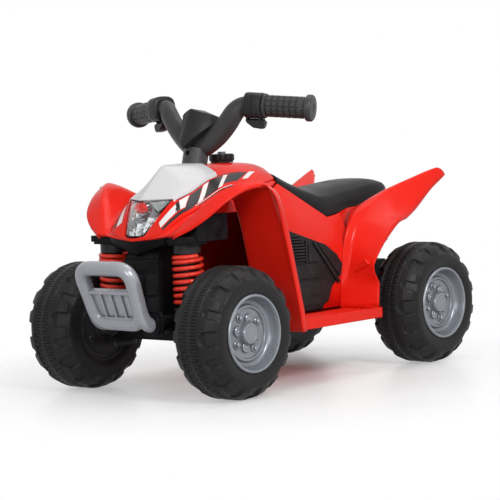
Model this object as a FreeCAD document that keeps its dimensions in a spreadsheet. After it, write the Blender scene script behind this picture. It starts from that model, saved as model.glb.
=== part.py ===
import FreeCAD
import Part
import Sketcher
import math
import os

# Kids quad bike: floor at z 0, front towards -y, the rider's left towards +x, millimetres

doc = FreeCAD.newDocument("kids_quad_bike")
sheet = doc.addObject("Spreadsheet::Sheet", "Sizes")

sizes = {
    # whole vehicle
    "wheelbase": 463, "axle_shift": 11, "track": 298, "wheel_radius": 96.5, "tyre_width": 86,
    # shared clearances
    "fit_gap": 0.3, "run_gap": 0.06, "overrun": 10, "wall": 3,
    # tyre and rim trim
    "tyre_wall": 5, "tread_flat": 28, "shoulder_width": 56, "shoulder_drop": 3.2,
    "cheek_width": 76, "cheek_drop": 11, "sidewall_drop": 22, "bead_width": 80, "rim_radius": 56.4,
    "lug_count": 8, "lug_half": 11.5, "lug_inner": 17, "lug_depth": 4, "small_lug_half": 7,
    "small_lug_inner": 22.5, "small_lug_depth": 3,
    "web_groove_radius": 46, "web_groove_width": 6, "web_groove_depth": 2,
    "hub_radius": 12, "hub_length": 48, "axle_radius": 5, "nut_radius": 8.5, "nut_length": 7.5,
    "axle_tail": 2, "rim_lip_width": 4.4, "rim_lip_proud": 0.4, "rim_wall": 3, "rim_dish_depth": 19,
    "rim_dish_radius": 44, "rim_step_radius": 33, "rim_step_height": 3.5, "rim_slope": 6,
    "cap_radius": 14, "cap_height": 8, "bolt_count": 4, "bolt_circle": 24, "bolt_radius": 4.2,
    "bolt_height": 4,
    # steering
    "kingpin_inset": 61, "steer_arm": 34, "trunnion_radius": 5, "barrel_radius": 11, "ear_radius": 12,
    "ear_height": 8, "beam_height": 28, "beam_depth": 30, "boss_radius": 9, "arm_width": 14,
    "arm_thickness": 8, "link_pin_radius": 3.5, "rod_width": 12, "rod_thickness": 5, "crank_slack": 1.4,
    "column_rake": 16, "column_y": -125.6, "shaft_radius": 6, "shaft_rise": 17.7,
    "crank_thickness": 6, "crank_width": 14, "crank_pin_length": 10,
    "sleeve_radius": 19, "sleeve_drop": 38, "sleeve_rise": 26, "column_screw_radius": 4,
    # axle beam horns that take the bumper
    "horn_radius": 13, "horn_z": 108, "horn_reach": 49, "horn_depth": 30,
    # bumper
    "bumper_radius": 11, "bumper_top_z": 194, "bumper_top_y": -328, "bumper_foot_z": 112,
    "bumper_foot_y": -297, "bumper_flare": 8, "bumper_foot_inset": 2.3, "bumper_bend": 20,
    "bumper_arm_radius": 10, "bumper_plate_top_z": 160, "bumper_plate_thickness": 7,
    # front block and shock bracket
    "block_share": 0.1875, "block_front": -263, "block_cheek": -247, "block_back": -200, "block_rise": 14,
    "prow_share": 0.515, "bracket_margin": 25, "crown_front": -238, "crown_height": 16,
    "bracket_front": -253, "bracket_back": -176, "bracket_base": 226, "bracket_height": 9.7,
    "rib_count": 5, "rib_thickness": 3, "rib_reach": 3,
    # shock absorbers
    "shock_inset": 13, "shock_y": -230, "shock_body_radius": 20, "shock_body_length": 16,
    "damper_radius": 13, "spring_seat_radius": 23, "shock_foot_height": 9.5, "spring_seat_height": 3,
    "shock_foot_radius": 9, "coil_radius": 20, "wire_radius": 2.7, "coil_pitch": 9.6, "coil_rise": 8.5,
    # chassis tub
    "tub_half": 58, "tub_front": -150, "tub_back": 265, "tub_height": 62, "tub_wall": 4,
    "rail_width": 14, "rail_base": 118, "rail_height": 40, "plate_base": 130, "plate_height": 8,
    "plate_back": -166, "axle_lug_half": 15, "axle_lug_drop": 20, "axle_tube_radius": 11,
    # footrest pan
    "pan_half": 163, "pan_back": 121, "pan_base": 81, "pan_height": 20, "pan_skin": 4, "pan_corner": 6,
    # body moulding
    "body_half": 92, "body_front": -84, "body_tail_y": 138, "body_back": 285, "tail_half": 62,
    "nose_y": -268, "tank_back": 0, "tank_rise": 109, "nose_lift": 3, "tank_lift": 10,
    "tank_share": 0.8804, "cowl_thickness": 2.6, "cowl_back": -135, "skin_gap": 0.2,
    "lens_thickness": 2.5, "lens_rim_share": 0.1, "reflector_thickness": 1.6,
    "shield_share": 1.8478, "shield_base": 82, "fender_drop": 22, "fender_tip_y": -261,
    "rear_tip_y": 327, "rear_tip_drop": 28, "rear_tip_share": 1.5, "seat_thickness": 32,
    # engine panel
    "panel_thickness": 4, "fin_count": 6, "fin_depth": 1.5, "fin_height": 4, "fin_pitch": 9,
    "fin_length": 34, "fin_front": -20, "fin_base": 150,
    # handlebar
    "bar_radius": 13, "bar_head_y": -116, "bar_head_rise": 17, "bar_sag_x": 36, "bar_sag_y": -110,
    "bar_sag_rise": 44, "bar_bend_x": 70, "bar_bend_y": -102,
    "bar_bend_rise": 88, "bar_end_x": 178, "bar_end_y": -59, "bar_end_rise": 77.9, "bar_bend_radius": 26,
    "grip_radius": 16.5, "grip_groove": 1.6, "grip_rings": 6, "grip_length": 86, "end_cap_radius": 20,
    "end_cap_length": 11, "grip_groove_width": 2.6, "bar_end_wall": 3,
    "housing_radius": 20.5, "housing_length": 28, "lever_width": 20, "lever_drop": 12,
    "lever_pin_radius": 2, "lever_barrel": 4, "lever_thickness": 14,
    "pad_width": 70, "pad_front_y": -150, "pad_base_rise": 22, "pad_rise": 57, "pad_lean": 51,
    "pad_thickness": 20,
    # fuel cap and its button
    "filler_y": -63, "filler_radius": 19.5, "filler_height": 14, "filler_scallops": 12,
    "scallop_radius": 3, "button_radius": 6.5, "button_proud": 3, "button_depth": 8, "button_travel": 2.5,
    # gearbox and motor
    "gear_module": 1.5, "output_teeth": 36, "idler_small_teeth": 10, "fine_module": 1,
    "idler_big_teeth": 40, "pinion_teeth": 12, "centre_slack": 0.5, "output_width": 10,
    "fine_width": 7, "case_depth": 40, "case_wall": 3, "case_margin": 2.5, "idler_angle": 127,
    "pinion_angle": 143, "idler_pin_radius": 3, "motor_radius": 14, "motor_length": 44,
    "motor_shaft_radius": 1.5, "drive_sleeve_radius": 10,
    # battery, socket, wiring and screws
    "battery_x": 70, "battery_y": 47, "battery_z": 100, "battery_front": 60, "socket_radius": 8,
    "socket_bore": 2.75, "socket_depth": 10, "socket_length": 16, "socket_flange": 11,
    "socket_flange_thickness": 2, "socket_z": 228, "wire_half": 1.6, "screw_radius": 2,
    "screw_head_radius": 4, "screw_head_height": 2.5, "screw_length": 9, "screw_inset": 12,
}
followers = {
    # sizes that follow the ones above
    "kingpin_spread": "=track - 2 * kingpin_inset", "block_half": "=block_share * kingpin_spread",
    "shock_x": "=kingpin_spread / 2 - shock_inset", "bracket_half": "=shock_x + bracket_margin",
    "bumper_foot_half": "=block_half + horn_radius + fit_gap - bumper_foot_inset",
    "bumper_top_half": "=bumper_foot_half + bumper_flare", "bracket_top": "=bracket_base + bracket_height",
    "block_top": "=bracket_base + block_rise", "nose_base": "=bracket_base + nose_lift",
    "tank_base": "=bracket_base + tank_lift", "tank_top": "=bracket_base + tank_rise",
    "column_z": "=tank_top", "fender_top": "=tank_top - fender_drop",
    "rear_tip_z": "=tank_top - rear_tip_drop", "shock_body_z": "=bracket_base - shock_body_length",
    "spring_seat_z": "=wheel_radius + beam_height / 2 + ear_height + shock_foot_height",
    "tub_base": "=pan_base + pan_height", "tank_half": "=tank_share * body_half",
    "shield_half": "=shield_share * body_half", "rear_tip_half": "=rear_tip_share * body_half",
    "bar_head_z": "=tank_top + bar_head_rise", "bar_bend_z": "=tank_top + bar_bend_rise",
    "bar_sag_z": "=tank_top + bar_sag_rise",
    "bar_end_z": "=tank_top + bar_end_rise", "pad_base_z": "=tank_top + pad_base_rise",
    "shaft_foot_z": "=wheel_radius - beam_height / 2 - ear_height + rod_thickness / 2"
                    " + steer_arm * sin(column_rake * 1deg) + crank_pin_length / 2 * cos(column_rake * 1deg)",
    "shaft_length": "=(column_z + shaft_rise - shaft_foot_z) / cos(column_rake * 1deg)",
}
sizes.update(followers)
for row, (alias, value) in enumerate(sizes.items(), start=1):
    sheet.set("A%d" % row, alias)
    sheet.set("B%d" % row, str(value))
    sheet.setAlias("B%d" % row, alias)
doc.recompute()


# Values and expressions

def size(alias):
    return float(sheet.get(alias))


def number(expression):
    return float(sheet.evalExpression(expression))


def cells(text):
    # every alias in the text gets the sheet's name in front
    words = []
    word = ""
    for letter in text + " ":
        if letter.isalnum() or letter == "_":
            word += letter
            continue
        words.append("Sizes." + word if word in sizes else word)
        words.append(letter)
        word = ""
    return "".join(words).strip()


front_axle_y = "(axle_shift - wheelbase / 2)"
rear_axle_y = "(axle_shift + wheelbase / 2)"
wheel_x = "(track / 2)"
kingpin_x = "(kingpin_spread / 2)"
hub_inner_x = "(track / 2 - bead_width / 2)"
hub_outer_x = "(track / 2 - bead_width / 2 + hub_length)"
beam_base = "(wheel_radius - beam_height / 2)"
beam_top = "(wheel_radius + beam_height / 2)"
arm_top = "(wheel_radius - beam_height / 2 - ear_height - fit_gap)"
rod_base = "(%s + fit_gap)" % arm_top
shaft_y = "(column_y - (column_z - shaft_foot_z) * tan(column_rake * 1deg))"
horn_offset = "(block_half + horn_radius + fit_gap)"
axle_end_x = "(track / 2 - bead_width / 2 + hub_length + nut_length + axle_tail)"


def value(text):
    return number(cells(text))


def bind(item, **links):
    for path, text in links.items():
        item.setExpression(path.replace("__", "."), cells(text))


nodes = []


def keep(item, label):
    item.Label = label
    nodes.append(item)
    return item


def place(item, x="0", y="0", z="0", rotation=None):
    if rotation is not None:
        item.Placement = FreeCAD.Placement(FreeCAD.Vector(), rotation)
    bind(item, Placement__Base__x=x, Placement__Base__y=y, Placement__Base__z=z)
    return item


along_x = FreeCAD.Rotation(FreeCAD.Vector(0, 1, 0), 90)
along_y = FreeCAD.Rotation(FreeCAD.Vector(1, 0, 0), -90)
along_z = FreeCAD.Rotation()
facing_right = FreeCAD.Rotation(FreeCAD.Vector(0, 0, 1), 180)


# Builders for Part primitives and booleans

def cylinder(name, radius, height, x="0", y="0", z="0", rotation=along_z):
    item = doc.addObject("Part::Cylinder", name)
    bind(item, Radius=radius, Height=height)
    return place(item, x, y, z, rotation)


def block(name, low, high):
    item = doc.addObject("Part::Box", name)
    spans = ["(%s) - (%s)" % (top, base) for base, top in zip(low, high)]
    bind(item, Length=spans[0], Width=spans[1], Height=spans[2])
    return place(item, *low)


def fuse(name, items):
    item = doc.addObject("Part::MultiFuse", name)
    item.Shapes = items
    item.Refine = True
    return item


def cut(name, base, tools):
    item = doc.addObject("Part::Cut", name)
    item.Base = base
    item.Tool = tools[0] if len(tools) == 1 else fuse(name + "_tools", tools)
    return item


def solid(name, shape):
    item = doc.addObject("Part::Feature", name)
    item.Shape = shape
    return item


# Builders for PartDesign bodies

def origin_part(body, role):
    return [item for item in body.Origin.OriginFeatures if item.Role == role][0]


def sketch(body, name, plane="XY_Plane"):
    item = body.newObject("Sketcher::SketchObject", name)
    item.AttachmentSupport = [(origin_part(body, plane), "")]
    item.MapMode = "FlatFace"
    return item


def pin_point(item, geometry, point, coordinates):
    # ties one sketch point to the sheet, on the axis where it is zero
    for kind, axis, text in (("DistanceX", -2, coordinates[0]), ("DistanceY", -1, coordinates[1])):
        if text == "0":
            item.addConstraint(Sketcher.Constraint("PointOnObject", geometry, point, axis))
            continue
        index = item.addConstraint(Sketcher.Constraint(kind, -1, 1, geometry, point, value(text)))
        item.setExpression("Constraints[%d]" % index, cells(text))


def outline(item, points):
    first = item.GeometryCount
    count = len(points)
    corners = [FreeCAD.Vector(value(u), value(v), 0) for u, v in points]
    for index in range(count):
        item.addGeometry(Part.LineSegment(corners[index], corners[(index + 1) % count]), False)
    for index in range(count):
        after = first + (index + 1) % count
        item.addConstraint(Sketcher.Constraint("Coincident", first + index, 2, after, 1))
        pin_point(item, first + index, 1, points[index])


def ring(item, centre, radius):
    place_at = FreeCAD.Vector(value(centre[0]), value(centre[1]), 0)
    geometry = item.addGeometry(Part.Circle(place_at, FreeCAD.Vector(0, 0, 1), value(radius)), False)
    pin_point(item, geometry, 3, centre)
    index = item.addConstraint(Sketcher.Constraint("Radius", geometry, value(radius)))
    item.setExpression("Constraints[%d]" % index, cells(radius))


def new_body(name):
    return doc.addObject("PartDesign::Body", name)


def pad(body, item, length, reverse=False):
    feature = body.newObject("PartDesign::Pad", item.Name + "_pad")
    feature.Profile = item
    feature.Reversed = reverse
    bind(feature, Length=length)
    body.Tip = feature
    return feature


def pocket(body, item, length, reverse=False):
    feature = body.newObject("PartDesign::Pocket", item.Name + "_pocket")
    feature.Profile = item
    feature.Reversed = reverse
    bind(feature, Length=length)
    body.Tip = feature
    return feature


def revolve(body, item, axis="H_Axis"):
    feature = body.newObject("PartDesign::Revolution", item.Name + "_turn")
    feature.Profile = item
    feature.ReferenceAxis = (item, [axis])
    feature.Angle = 360
    body.Tip = feature
    return feature


def polar(body, features, count, axis="X_Axis"):
    pattern = body.newObject("PartDesign::PolarPattern", features[0].Name + "_round")
    pattern.Originals = features
    pattern.Axis = (origin_part(body, axis), [""])
    pattern.Angle = 360
    bind(pattern, Occurrences=count)
    body.Tip = pattern
    return pattern


# Builders for lofted mouldings

flat_share = 1e-7


def vector(x, y, z):
    return FreeCAD.Vector(x, y, z)


def mirrored(points):
    return [vector(-point.x, point.y, point.z) for point in reversed(points)]


def panel(points):
    # one flat face, or two along the shorter diagonal where the four corners don't lie in a plane
    first, second, third, fourth = points
    normal = (third - first).cross(fourth - second)
    corners = [corner for index, corner in enumerate(points) if (corner - points[index - 1]).Length > 0]
    if len(corners) < 3 or normal.Length == 0:
        return []
    if abs((second - first).dot(normal.normalize())) < flat_share * (third - first).Length:
        return [Part.Face(Part.makePolygon(corners + corners[:1]))]
    if (third - first).Length <= (fourth - second).Length:
        triangles = [[first, second, third], [first, third, fourth]]
    else:
        triangles = [[first, second, fourth], [second, third, fourth]]
    return [Part.Face(Part.makePolygon(corners + corners[:1])) for corners in triangles]


def ruled(stations):
    # a closed moulding through stations with the same number of corners
    count = len(stations[0])
    faces = []
    for near, far in zip(stations, stations[1:]):
        for index in range(count):
            after = (index + 1) % count
            faces += panel([near[index], near[after], far[after], far[index]])
    for ends in (stations[0], stations[-1]):
        for index in range(count // 2 - 1):
            faces += panel([ends[index], ends[index + 1], ends[count - 2 - index], ends[count - 1 - index]])
    moulding = Part.makeSolid(Part.makeShell(faces))
    if moulding.Volume < 0:
        moulding.reverse()
    return moulding


def whole(halves):
    # stations drawn on the left half, closed by their mirror image
    return ruled([points + mirrored(points) for points in halves])


def flip(shape):
    return shape.mirror(FreeCAD.Vector(), FreeCAD.Vector(1, 0, 0))


def blend(first, second, share):
    return first + (second - first) * share


# Body stations: the roof line shared by the side body, the tank and the seat

body_half = size("body_half")
tank_top = size("tank_top")
tank_base = size("tank_base")
body_front = size("body_front")
tank_back = size("tank_back")
tail_y = size("body_tail_y")
body_back = size("body_back")
pan_top = size("pan_base") + size("pan_height")
tail_base = value("tub_base + tub_height + fit_gap")
gap = size("fit_gap")
skin = size("skin_gap")
wall = size("wall")
roof_shares = [
    # along the body from front to back, half width, height between pan top and tank top, shoulder height
    (0.0, 0.80, 0.688, 0.577), (0.2276, 0.61, 0.85, 0.534), (0.363, 0.67, 0.731, 0.466),
    (0.499, 0.78, 0.598, 0.389), (0.602, 0.73, 0.62, 0.38),
]
tail_roof_shares = [
    # along the tail, half width against the tail's, height between pan top and tank top
    (0.0, 1.08, 0.62), (0.17, 1.02, 0.645), (0.435, 1.0, 0.654), (0.74, 1.0, 0.722), (1.0, 0.8, 0.756),
]


def roof_height(share):
    return pan_top + share * (tank_top - pan_top)


def roof_points():
    points = []
    for along, half, high, _ in roof_shares[:-1]:
        y = body_front + along * (body_back - body_front)
        points.append((y, half * body_half, roof_height(high)))
    for along, half, high in tail_roof_shares:
        points.append((tail_y + along * (body_back - tail_y), half * size("tail_half"), roof_height(high)))
    return points


def roof_at(y):
    points = roof_points()
    for low, high in zip(points, points[1:]):
        if low[0] <= y <= high[0]:
            share = (y - low[0]) / (high[0] - low[0])
            return low[1] + share * (high[1] - low[1]), low[2] + share * (high[2] - low[2])
    return points[-1][1], points[-1][2]


def side_solid(grow):
    halves = []
    for along, half, high, shoulder in roof_shares:
        y = body_front + along * (body_back - body_front)
        if along == roof_shares[-1][0]:
            y = tail_y
        roof_half, roof = roof_at(y)
        y = max(y, body_front - grow)
        halves.append([
            vector(body_half + grow, y, pan_top - (grow if grow < 0 else 0)),
            vector(body_half + grow, y, roof_height(shoulder)),
            vector(roof_half + grow, y, roof + grow),
        ])
    return whole(halves)


def tail_solid(grow):
    halves = []
    for along, half, high in tail_roof_shares:
        y = tail_y + along * (body_back - tail_y)
        y = min(y, body_back + grow)
        width = half * size("tail_half")
        halves.append([
            vector(width + grow, y, tail_base - grow),
            vector(width + grow, y, roof_height(high) + grow),
        ])
    return whole(halves)


# Tank and nose cover stations: half outline from the bottom edge up to the ridge

tank_half = size("tank_half")
nose_y = size("nose_y")
nose_base = size("nose_base")
prow_shares = [
    # back from the nose along the nose length, height between nose base and tank top
    (0.0, 0.0), (0.0075, 0.066), (0.073, 0.519), (0.078, 0.557),
]
nose_cheek_shares = [
    # half width against the tank's or cowl's, back along the nose length, height as above
    (0.247, 0.034, 0.03), (0.247, 0.026, 0.085), (0.53, 0.1754, 0.557), (0.025, 0.112, 0.632),
]
tank_shares = [
    # back along the nose length, then half width and height (above tank base) of the four corners
    (0.2015, (0.815, 0.0), (0.914, 0.2), (0.568, 0.545), (0.037, 0.838)),
    (0.291, (0.864, 0.04), (0.963, 0.303), (0.617, 0.636), (0.062, 1.0)),
    (0.44, (0.914, 0.12), (1.0, 0.444), (0.617, 0.818), (0.296, 1.0)),
    (0.6866, None, (0.988, 0.525), (0.617, 0.889), (0.321, 1.0)),
    (0.925, None, (0.765, 0.626), (0.543, 0.859), (0.296, 1.0)),
    (1.0, None, (0.679, 0.687), (0.494, 0.848), (0.272, 0.929)),
]


def tank_stations(grow):
    length = tank_back - nose_y
    rise = tank_top - nose_base
    slim = size("skin_gap") * 5
    stations = [
        [vector(max(slim + grow, skin), nose_y + back * length - grow, nose_base + high * rise + lift)
         for (back, high), lift in zip(prow_shares, (-grow, 0, 0, grow))],
        [vector(max(half * tank_half + grow, skin), nose_y + back * length - grow / 2,
                nose_base + high * rise + lift)
         for (half, back, high), lift in zip(nose_cheek_shares, (-grow, 0, grow, grow))],
    ]
    for back, *corners in tank_shares:
        y = nose_y + back * length
        points = []
        for index, corner in enumerate(corners):
            if corner is None:
                half, high = roof_at(max(y, body_front))
                points.append(vector(half + grow, y, high + gap - grow))
                continue
            half, high = corner
            lift = (-grow, 0, grow, grow)[index]
            level = tank_base + high * (tank_top - tank_base) + lift
            points.append(vector(max(half * tank_half + grow, skin), y, level))
        stations.append(points)
    if grow < 0:
        for point in stations[-1]:
            point.y = point.y + grow
        for points in stations:
            points[0].z = points[0].z - size("overrun")
    return stations


column = vector(0, size("column_y"), size("column_z"))
rake = math.radians(size("column_rake"))
column_axis = vector(0, math.sin(rake), math.cos(rake))
column_turn = FreeCAD.Rotation(vector(0, 0, 1), column_axis)


def column_point(z):
    return column + column_axis * ((z - column.z) / column_axis.z)


def column_bore(radius):
    foot = column_point(size("shaft_foot_z"))
    return Part.makeCylinder(radius, size("shaft_length"), foot, column_axis)


def lens_strip(front, back, inset):
    # a plate that follows the two front faces of the nose, from front to back of the given offsets
    prow, cheek = tank_stations(0)[:2]
    stations = []
    for low, high in ((cheek[1], cheek[2]), (prow[1], prow[2])):
        span = high - low
        edge = 1.0 if low == prow[1] else 1.0 - inset
        base = low + span * inset
        top = high - span * inset
        base.x = base.x * edge
        top.x = top.x * edge
        stations.append([base + vector(0, front, 0), top + vector(0, front, 0),
                         top + vector(0, back, 0), base + vector(0, back, 0)])
    other = [[vector(-point.x, point.y, point.z) for point in points] for points in reversed(stations)]
    return ruled(stations + other)


tank_solid = whole(tank_stations(0))
tank_clear = whole(tank_stations(gap))
tank_shell = tank_solid.cut(whole(tank_stations(-wall)))
sleeve_hole = column_bore(size("sleeve_radius") + size("run_gap"))
lens_rim_share = size("lens_rim_share")
lens_opening = lens_strip(-size("overrun"), size("overrun"), lens_rim_share)
keep(solid("tank_cover", tank_shell.cut(sleeve_hole).cut(lens_opening)), "tank_cover")

tank_seat = whole(tank_stations(skin))
lens = lens_strip(-skin - size("lens_thickness"), wall, skin / size("lens_thickness")).cut(tank_seat)
keep(solid("headlight_lens", lens), "headlight_lens")


def cowl_shape():
    stations = tank_stations(0)[1:6]
    share = (size("cowl_back") - stations[3][0].y) / (stations[4][0].y - stations[3][0].y)
    stations[4] = [blend(first, second, share) for first, second in zip(stations[3], stations[4])]
    thick = size("cowl_thickness")
    rings = []
    for points in stations:
        edge, ridge = points[2], points[3]
        low = [edge - vector(0, 0, wall), ridge - vector(0, 0, wall)]
        high = [ridge + vector(0, 0, skin + thick), edge + vector(0, 0, skin + thick)]
        rings.append(low + mirrored(low) + [vector(-p.x, p.y, p.z) for p in high[::-1]] + high)
    return ruled(rings)


cowl_hole = column_bore(size("sleeve_radius") + gap)
keep(solid("nose_cowl", cowl_shape().cut(tank_seat).cut(cowl_hole)), "nose_cowl")


# Side body: the red shell under the seat, open below, with its tail over the gearbox

side_body = side_solid(0).fuse(tail_solid(0))
side_room = side_solid(-wall).fuse(tail_solid(-wall))
side_clear = side_solid(gap).fuse(tail_solid(gap))
socket_hole = Part.makeCylinder(size("socket_radius") + skin, size("overrun"),
                                vector(0, body_back - size("overrun") / 2, size("socket_z")), vector(0, 1, 0))
tub_way = Part.makeBox(2 * (size("tub_half") + gap), body_back - body_front, size("tub_height") + gap,
                       vector(-size("tub_half") - gap, body_front - gap, pan_top))
side_body = side_body.cut(side_room).cut(socket_hole).cut(tub_way).removeSplitter()
keep(solid("side_body", side_body), "side_body")

# Seat: one moulding over the roof line, its crown given as shares of the seat thickness

seat_crown_shares = [0.62, 0.88, 1.46, 1.3, 1.2, 1.22, 0.84, 0.3]
seat_edge_share = 0.94
seat_flat_share = 0.55
seat_side_share = 0.68


def seat_shape(grow):
    halves = []
    line = [point for point in roof_points() if point[0] > tank_back - gap]
    for (y, half, high), crown in zip(line, seat_crown_shares):
        top = high + crown * size("seat_thickness")
        y = max(y, tank_back + gap)
        halves.append([
            vector(half + grow, y, high + gap - grow),
            vector(half * seat_edge_share + grow, y, high + seat_side_share * (top - high) + grow),
            vector(half * seat_flat_share + grow, y, top + grow),
        ])
    return whole(halves)


seat_room = seat_shape(-wall)
seat_room.translate(vector(0, 0, -wall - gap))
keep(solid("seat", seat_shape(0).cut(seat_room)), "seat")

# Front fenders: stations from the tip over the wheel and down the leg shield

shield_half = size("shield_half")
shield_base = size("shield_base")
fender_top = size("fender_top")
fender_tip_y = size("fender_tip_y")
fender_shares = [
    # inner, crest and lip corners: half width against the shield's, place from tip to body front, height from
    # shield base to fender top; then how far the skin turns from facing up to facing back
    ((0.35, 0.02, 0.671), (0.429, 0.0, 0.675), (0.435, 0.0, 0.667), 0.0),
    ((0.43, 0.266, 0.753), (0.659, 0.266, 0.905), (0.753, 0.141, 0.792), 0.0),
    ((0.45, 0.469, 0.818), (0.824, 0.469, 0.983), (0.882, 0.458, 0.94), 0.0),
    ((0.46, 0.599, 0.861), (0.918, 0.616, 1.0), (0.976, 0.616, 0.983), 0.3),
    ((0.47, 0.695, 0.874), (0.941, 0.678, 0.97), (1.0, 0.667, 0.944), 0.8),
    ((0.49, 0.785, 0.684), (0.941, 0.791, 0.671), (1.0, 0.78, 0.671), 1.0),
    ((0.5, 0.96, 0.143), (0.941, 0.966, 0.143), (1.0, 0.955, 0.143), 1.0),
    ((0.5, 0.989, 0.0), (0.941, 0.989, 0.0), (1.0, 0.983, 0.0), 1.0),
]


def skin_loft(shares, corner, inward):
    stations = []
    for *corners, turn in shares:
        outer = [corner(*each) for each in corners]
        stations.append(outer + [point + inward(turn) for point in reversed(outer)])
    return ruled(stations)


def fender_corner(half, along, high):
    y = fender_tip_y + along * (body_front - fender_tip_y)
    return vector(half * shield_half, y, shield_base + high * (fender_top - shield_base))


def fender_inward(turn):
    angle = math.radians(90) * turn
    return vector(0, -wall * math.sin(angle), -wall * math.cos(angle))


cheek_shares = [
    # place from the shield's foot to the body front, height from shield base to fender top
    (0.964, 0.085), (1.0, 0.085), (1.0, 0.76), (0.695, 0.86), (0.777, 0.671),
]


def cheek_plate():
    # closes the side between the leg shield and the side body
    corners = []
    for along, high in cheek_shares:
        corner = fender_corner(0, along, high)
        corners.append(vector(body_half - wall, min(corner.y, body_front - gap), corner.z))
    return Part.Face(Part.makePolygon(corners + corners[:1])).extrude(vector(wall, 0, 0))


front_fender = skin_loft(fender_shares, fender_corner, fender_inward).fuse(cheek_plate())
front_fender = front_fender.cut(tank_clear).cut(side_clear).removeSplitter()
keep(solid("front_fender_left", front_fender), "front_fender_left")
keep(solid("front_fender_right", flip(front_fender)), "front_fender_right")

# Rear fenders: stations from the footrest up to the tip

rear_foot_y = size("pan_back")
rear_tip_y = size("rear_tip_y")
rear_tip_z = size("rear_tip_z")
rear_tip_half = size("rear_tip_half")
rear_shares = [
    # inner, crest and outer corners: half width against the tip's, place from panel foot to tip, height from
    # pan top to tip; then how far the skin turns from facing up to facing forward
    ((0.7, -0.03, 0.0), (0.72, -0.03, 0.0), (1.1, -0.015, 0.0), 1.0),
    ((0.7, -0.08, 0.32), (0.72, -0.085, 0.32), (1.09, -0.02, 0.316), 1.0),
    ((0.7, -0.035, 0.555), (0.715, -0.035, 0.616), (1.07, 0.306, 0.646), 0.6),
    ((0.5, 0.19, 0.733), (0.703, 0.189, 0.782), (1.03, 0.442, 0.655), 0.4),
    ((0.46, 0.393, 0.755), (0.73, 0.383, 0.854), (0.986, 0.607, 0.723), 0.3),
    ((0.56, 0.63, 0.86), (0.85, 0.684, 0.937), (0.993, 0.811, 0.874), 0.3),
    ((0.89, 0.93, 0.985), (0.95, 0.951, 1.0), (1.0, 1.0, 0.976), 0.3),
]


def rear_corner(half, along, high):
    return vector(half * rear_tip_half, rear_foot_y + along * (rear_tip_y - rear_foot_y),
                  pan_top + gap + high * (rear_tip_z - pan_top))


def rear_inward(turn):
    angle = math.radians(90) * turn
    return vector(0, wall * math.sin(angle), -wall * math.cos(angle))


seat_clear = seat_shape(gap)
rear_fender = skin_loft(rear_shares, rear_corner, rear_inward).cut(side_clear).cut(seat_clear)
keep(solid("rear_fender_left", rear_fender), "rear_fender_left")
keep(solid("rear_fender_right", flip(rear_fender)), "rear_fender_right")

# Reflector behind the lens, seated on the inner face of the nose

reflector_front = wall + gap
reflector = lens_strip(reflector_front, reflector_front + size("reflector_thickness"), lens_rim_share / 2)
keep(solid("headlight_reflector", reflector.common(whole(tank_stations(-wall - gap)))), "headlight_reflector")

# Footrest pan: one skin across the belly with a skirt all round

pan_front = "(body_front + fit_gap)"
pan = new_body("footrest_pan")
pan_outline = [
    ("-pan_half", pan_front), ("pan_half", pan_front), ("pan_half", "pan_back - pan_corner"),
    ("pan_half - pan_corner", "pan_back"), ("-pan_half + pan_corner", "pan_back"),
    ("-pan_half", "pan_back - pan_corner"),
]
pan_plan = sketch(pan, "pan_plan")
outline(pan_plan, pan_outline)
pad(pan, pan_plan, "pan_height")
pan_room = sketch(pan, "pan_room")
outline(pan_room, [
    ("-pan_half + wall", pan_front + " + wall"), ("pan_half - wall", pan_front + " + wall"),
    ("pan_half - wall", "pan_back - pan_corner"), ("pan_half - pan_corner", "pan_back - wall"),
    ("-pan_half + pan_corner", "pan_back - wall"), ("-pan_half + wall", "pan_back - pan_corner"),
])
pocket(pan, pan_room, "pan_height - pan_skin", True)
screw_spots = [
    ("%s * (tub_half - screw_inset)" % side, along)
    for along in ("body_front + screw_inset", "pan_back - screw_inset") for side in ("1", "-1")
]
pan_holes = sketch(pan, "pan_holes")
for spot in screw_spots:
    ring(pan_holes, spot, "screw_radius + run_gap")
pocket(pan, pan_holes, "pan_height + overrun", True)
keep(place(pan, z="pan_base"), "footrest_pan")

# Screws that hold the pan to the tub

screws = []
for index, spot in enumerate(screw_spots):
    spot_text = ["(%s)" % text for text in spot]
    head_z = "pan_base + pan_height - pan_skin - screw_head_height"
    head = cylinder("screw_head_%d" % index, "screw_head_radius", "screw_head_height", *spot_text, head_z)
    shank = cylinder("screw_shank_%d" % index, "screw_radius", "screw_length", *spot_text,
                     head_z + " + screw_head_height")
    screws.append(fuse("screw_%d" % index, [head, shank]))
group = doc.addObject("Part::Compound", "body_screws")
group.Links = screws
keep(group, "body_screws")

# Engine side panels with cooling fins

panel_shares = [
    # along the side body's front half, height from pan top to the roof's shoulder at its front
    (0.27, 0.95), (0.715, 0.733), (0.878, 0.52), (0.847, 0.35), (0.743, 0.26), (0.71, 0.07), (0.65, 0.015),
    (0.27, 0.015),
]
panel_length = "(body_tail_y - body_front)"
panel_rise = "(%.3f * (tank_top - pan_base - pan_height))" % roof_shares[0][3]
for label, turn in (("engine_panel_left", 1), ("engine_panel_right", -1)):
    body = new_body(label)
    face = sketch(body, label + "_face", "YZ_Plane")
    outline(face, [("body_front + %.3f * %s" % (along, panel_length),
                    "pan_base + pan_height + %.3f * %s" % (high, panel_rise))
                   for along, high in panel_shares])
    pad(body, face, "panel_thickness", turn < 0)
    fins = sketch(body, label + "_fins", "YZ_Plane")
    for index in range(int(size("fin_count"))):
        low = "fin_base + %d * fin_pitch" % index
        high = low + " + fin_height"
        outline(fins, [("fin_front", low), ("fin_front + fin_length", low), ("fin_front + fin_length", high),
                       ("fin_front", high)])
    fins.AttachmentOffset = FreeCAD.Placement()
    bind(fins, AttachmentOffset__Base__z="%d * panel_thickness" % turn)
    pocket(body, fins, "fin_depth", turn < 0)
    keep(place(body, x="%d * (body_half + skin_gap)" % turn), label)

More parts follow.
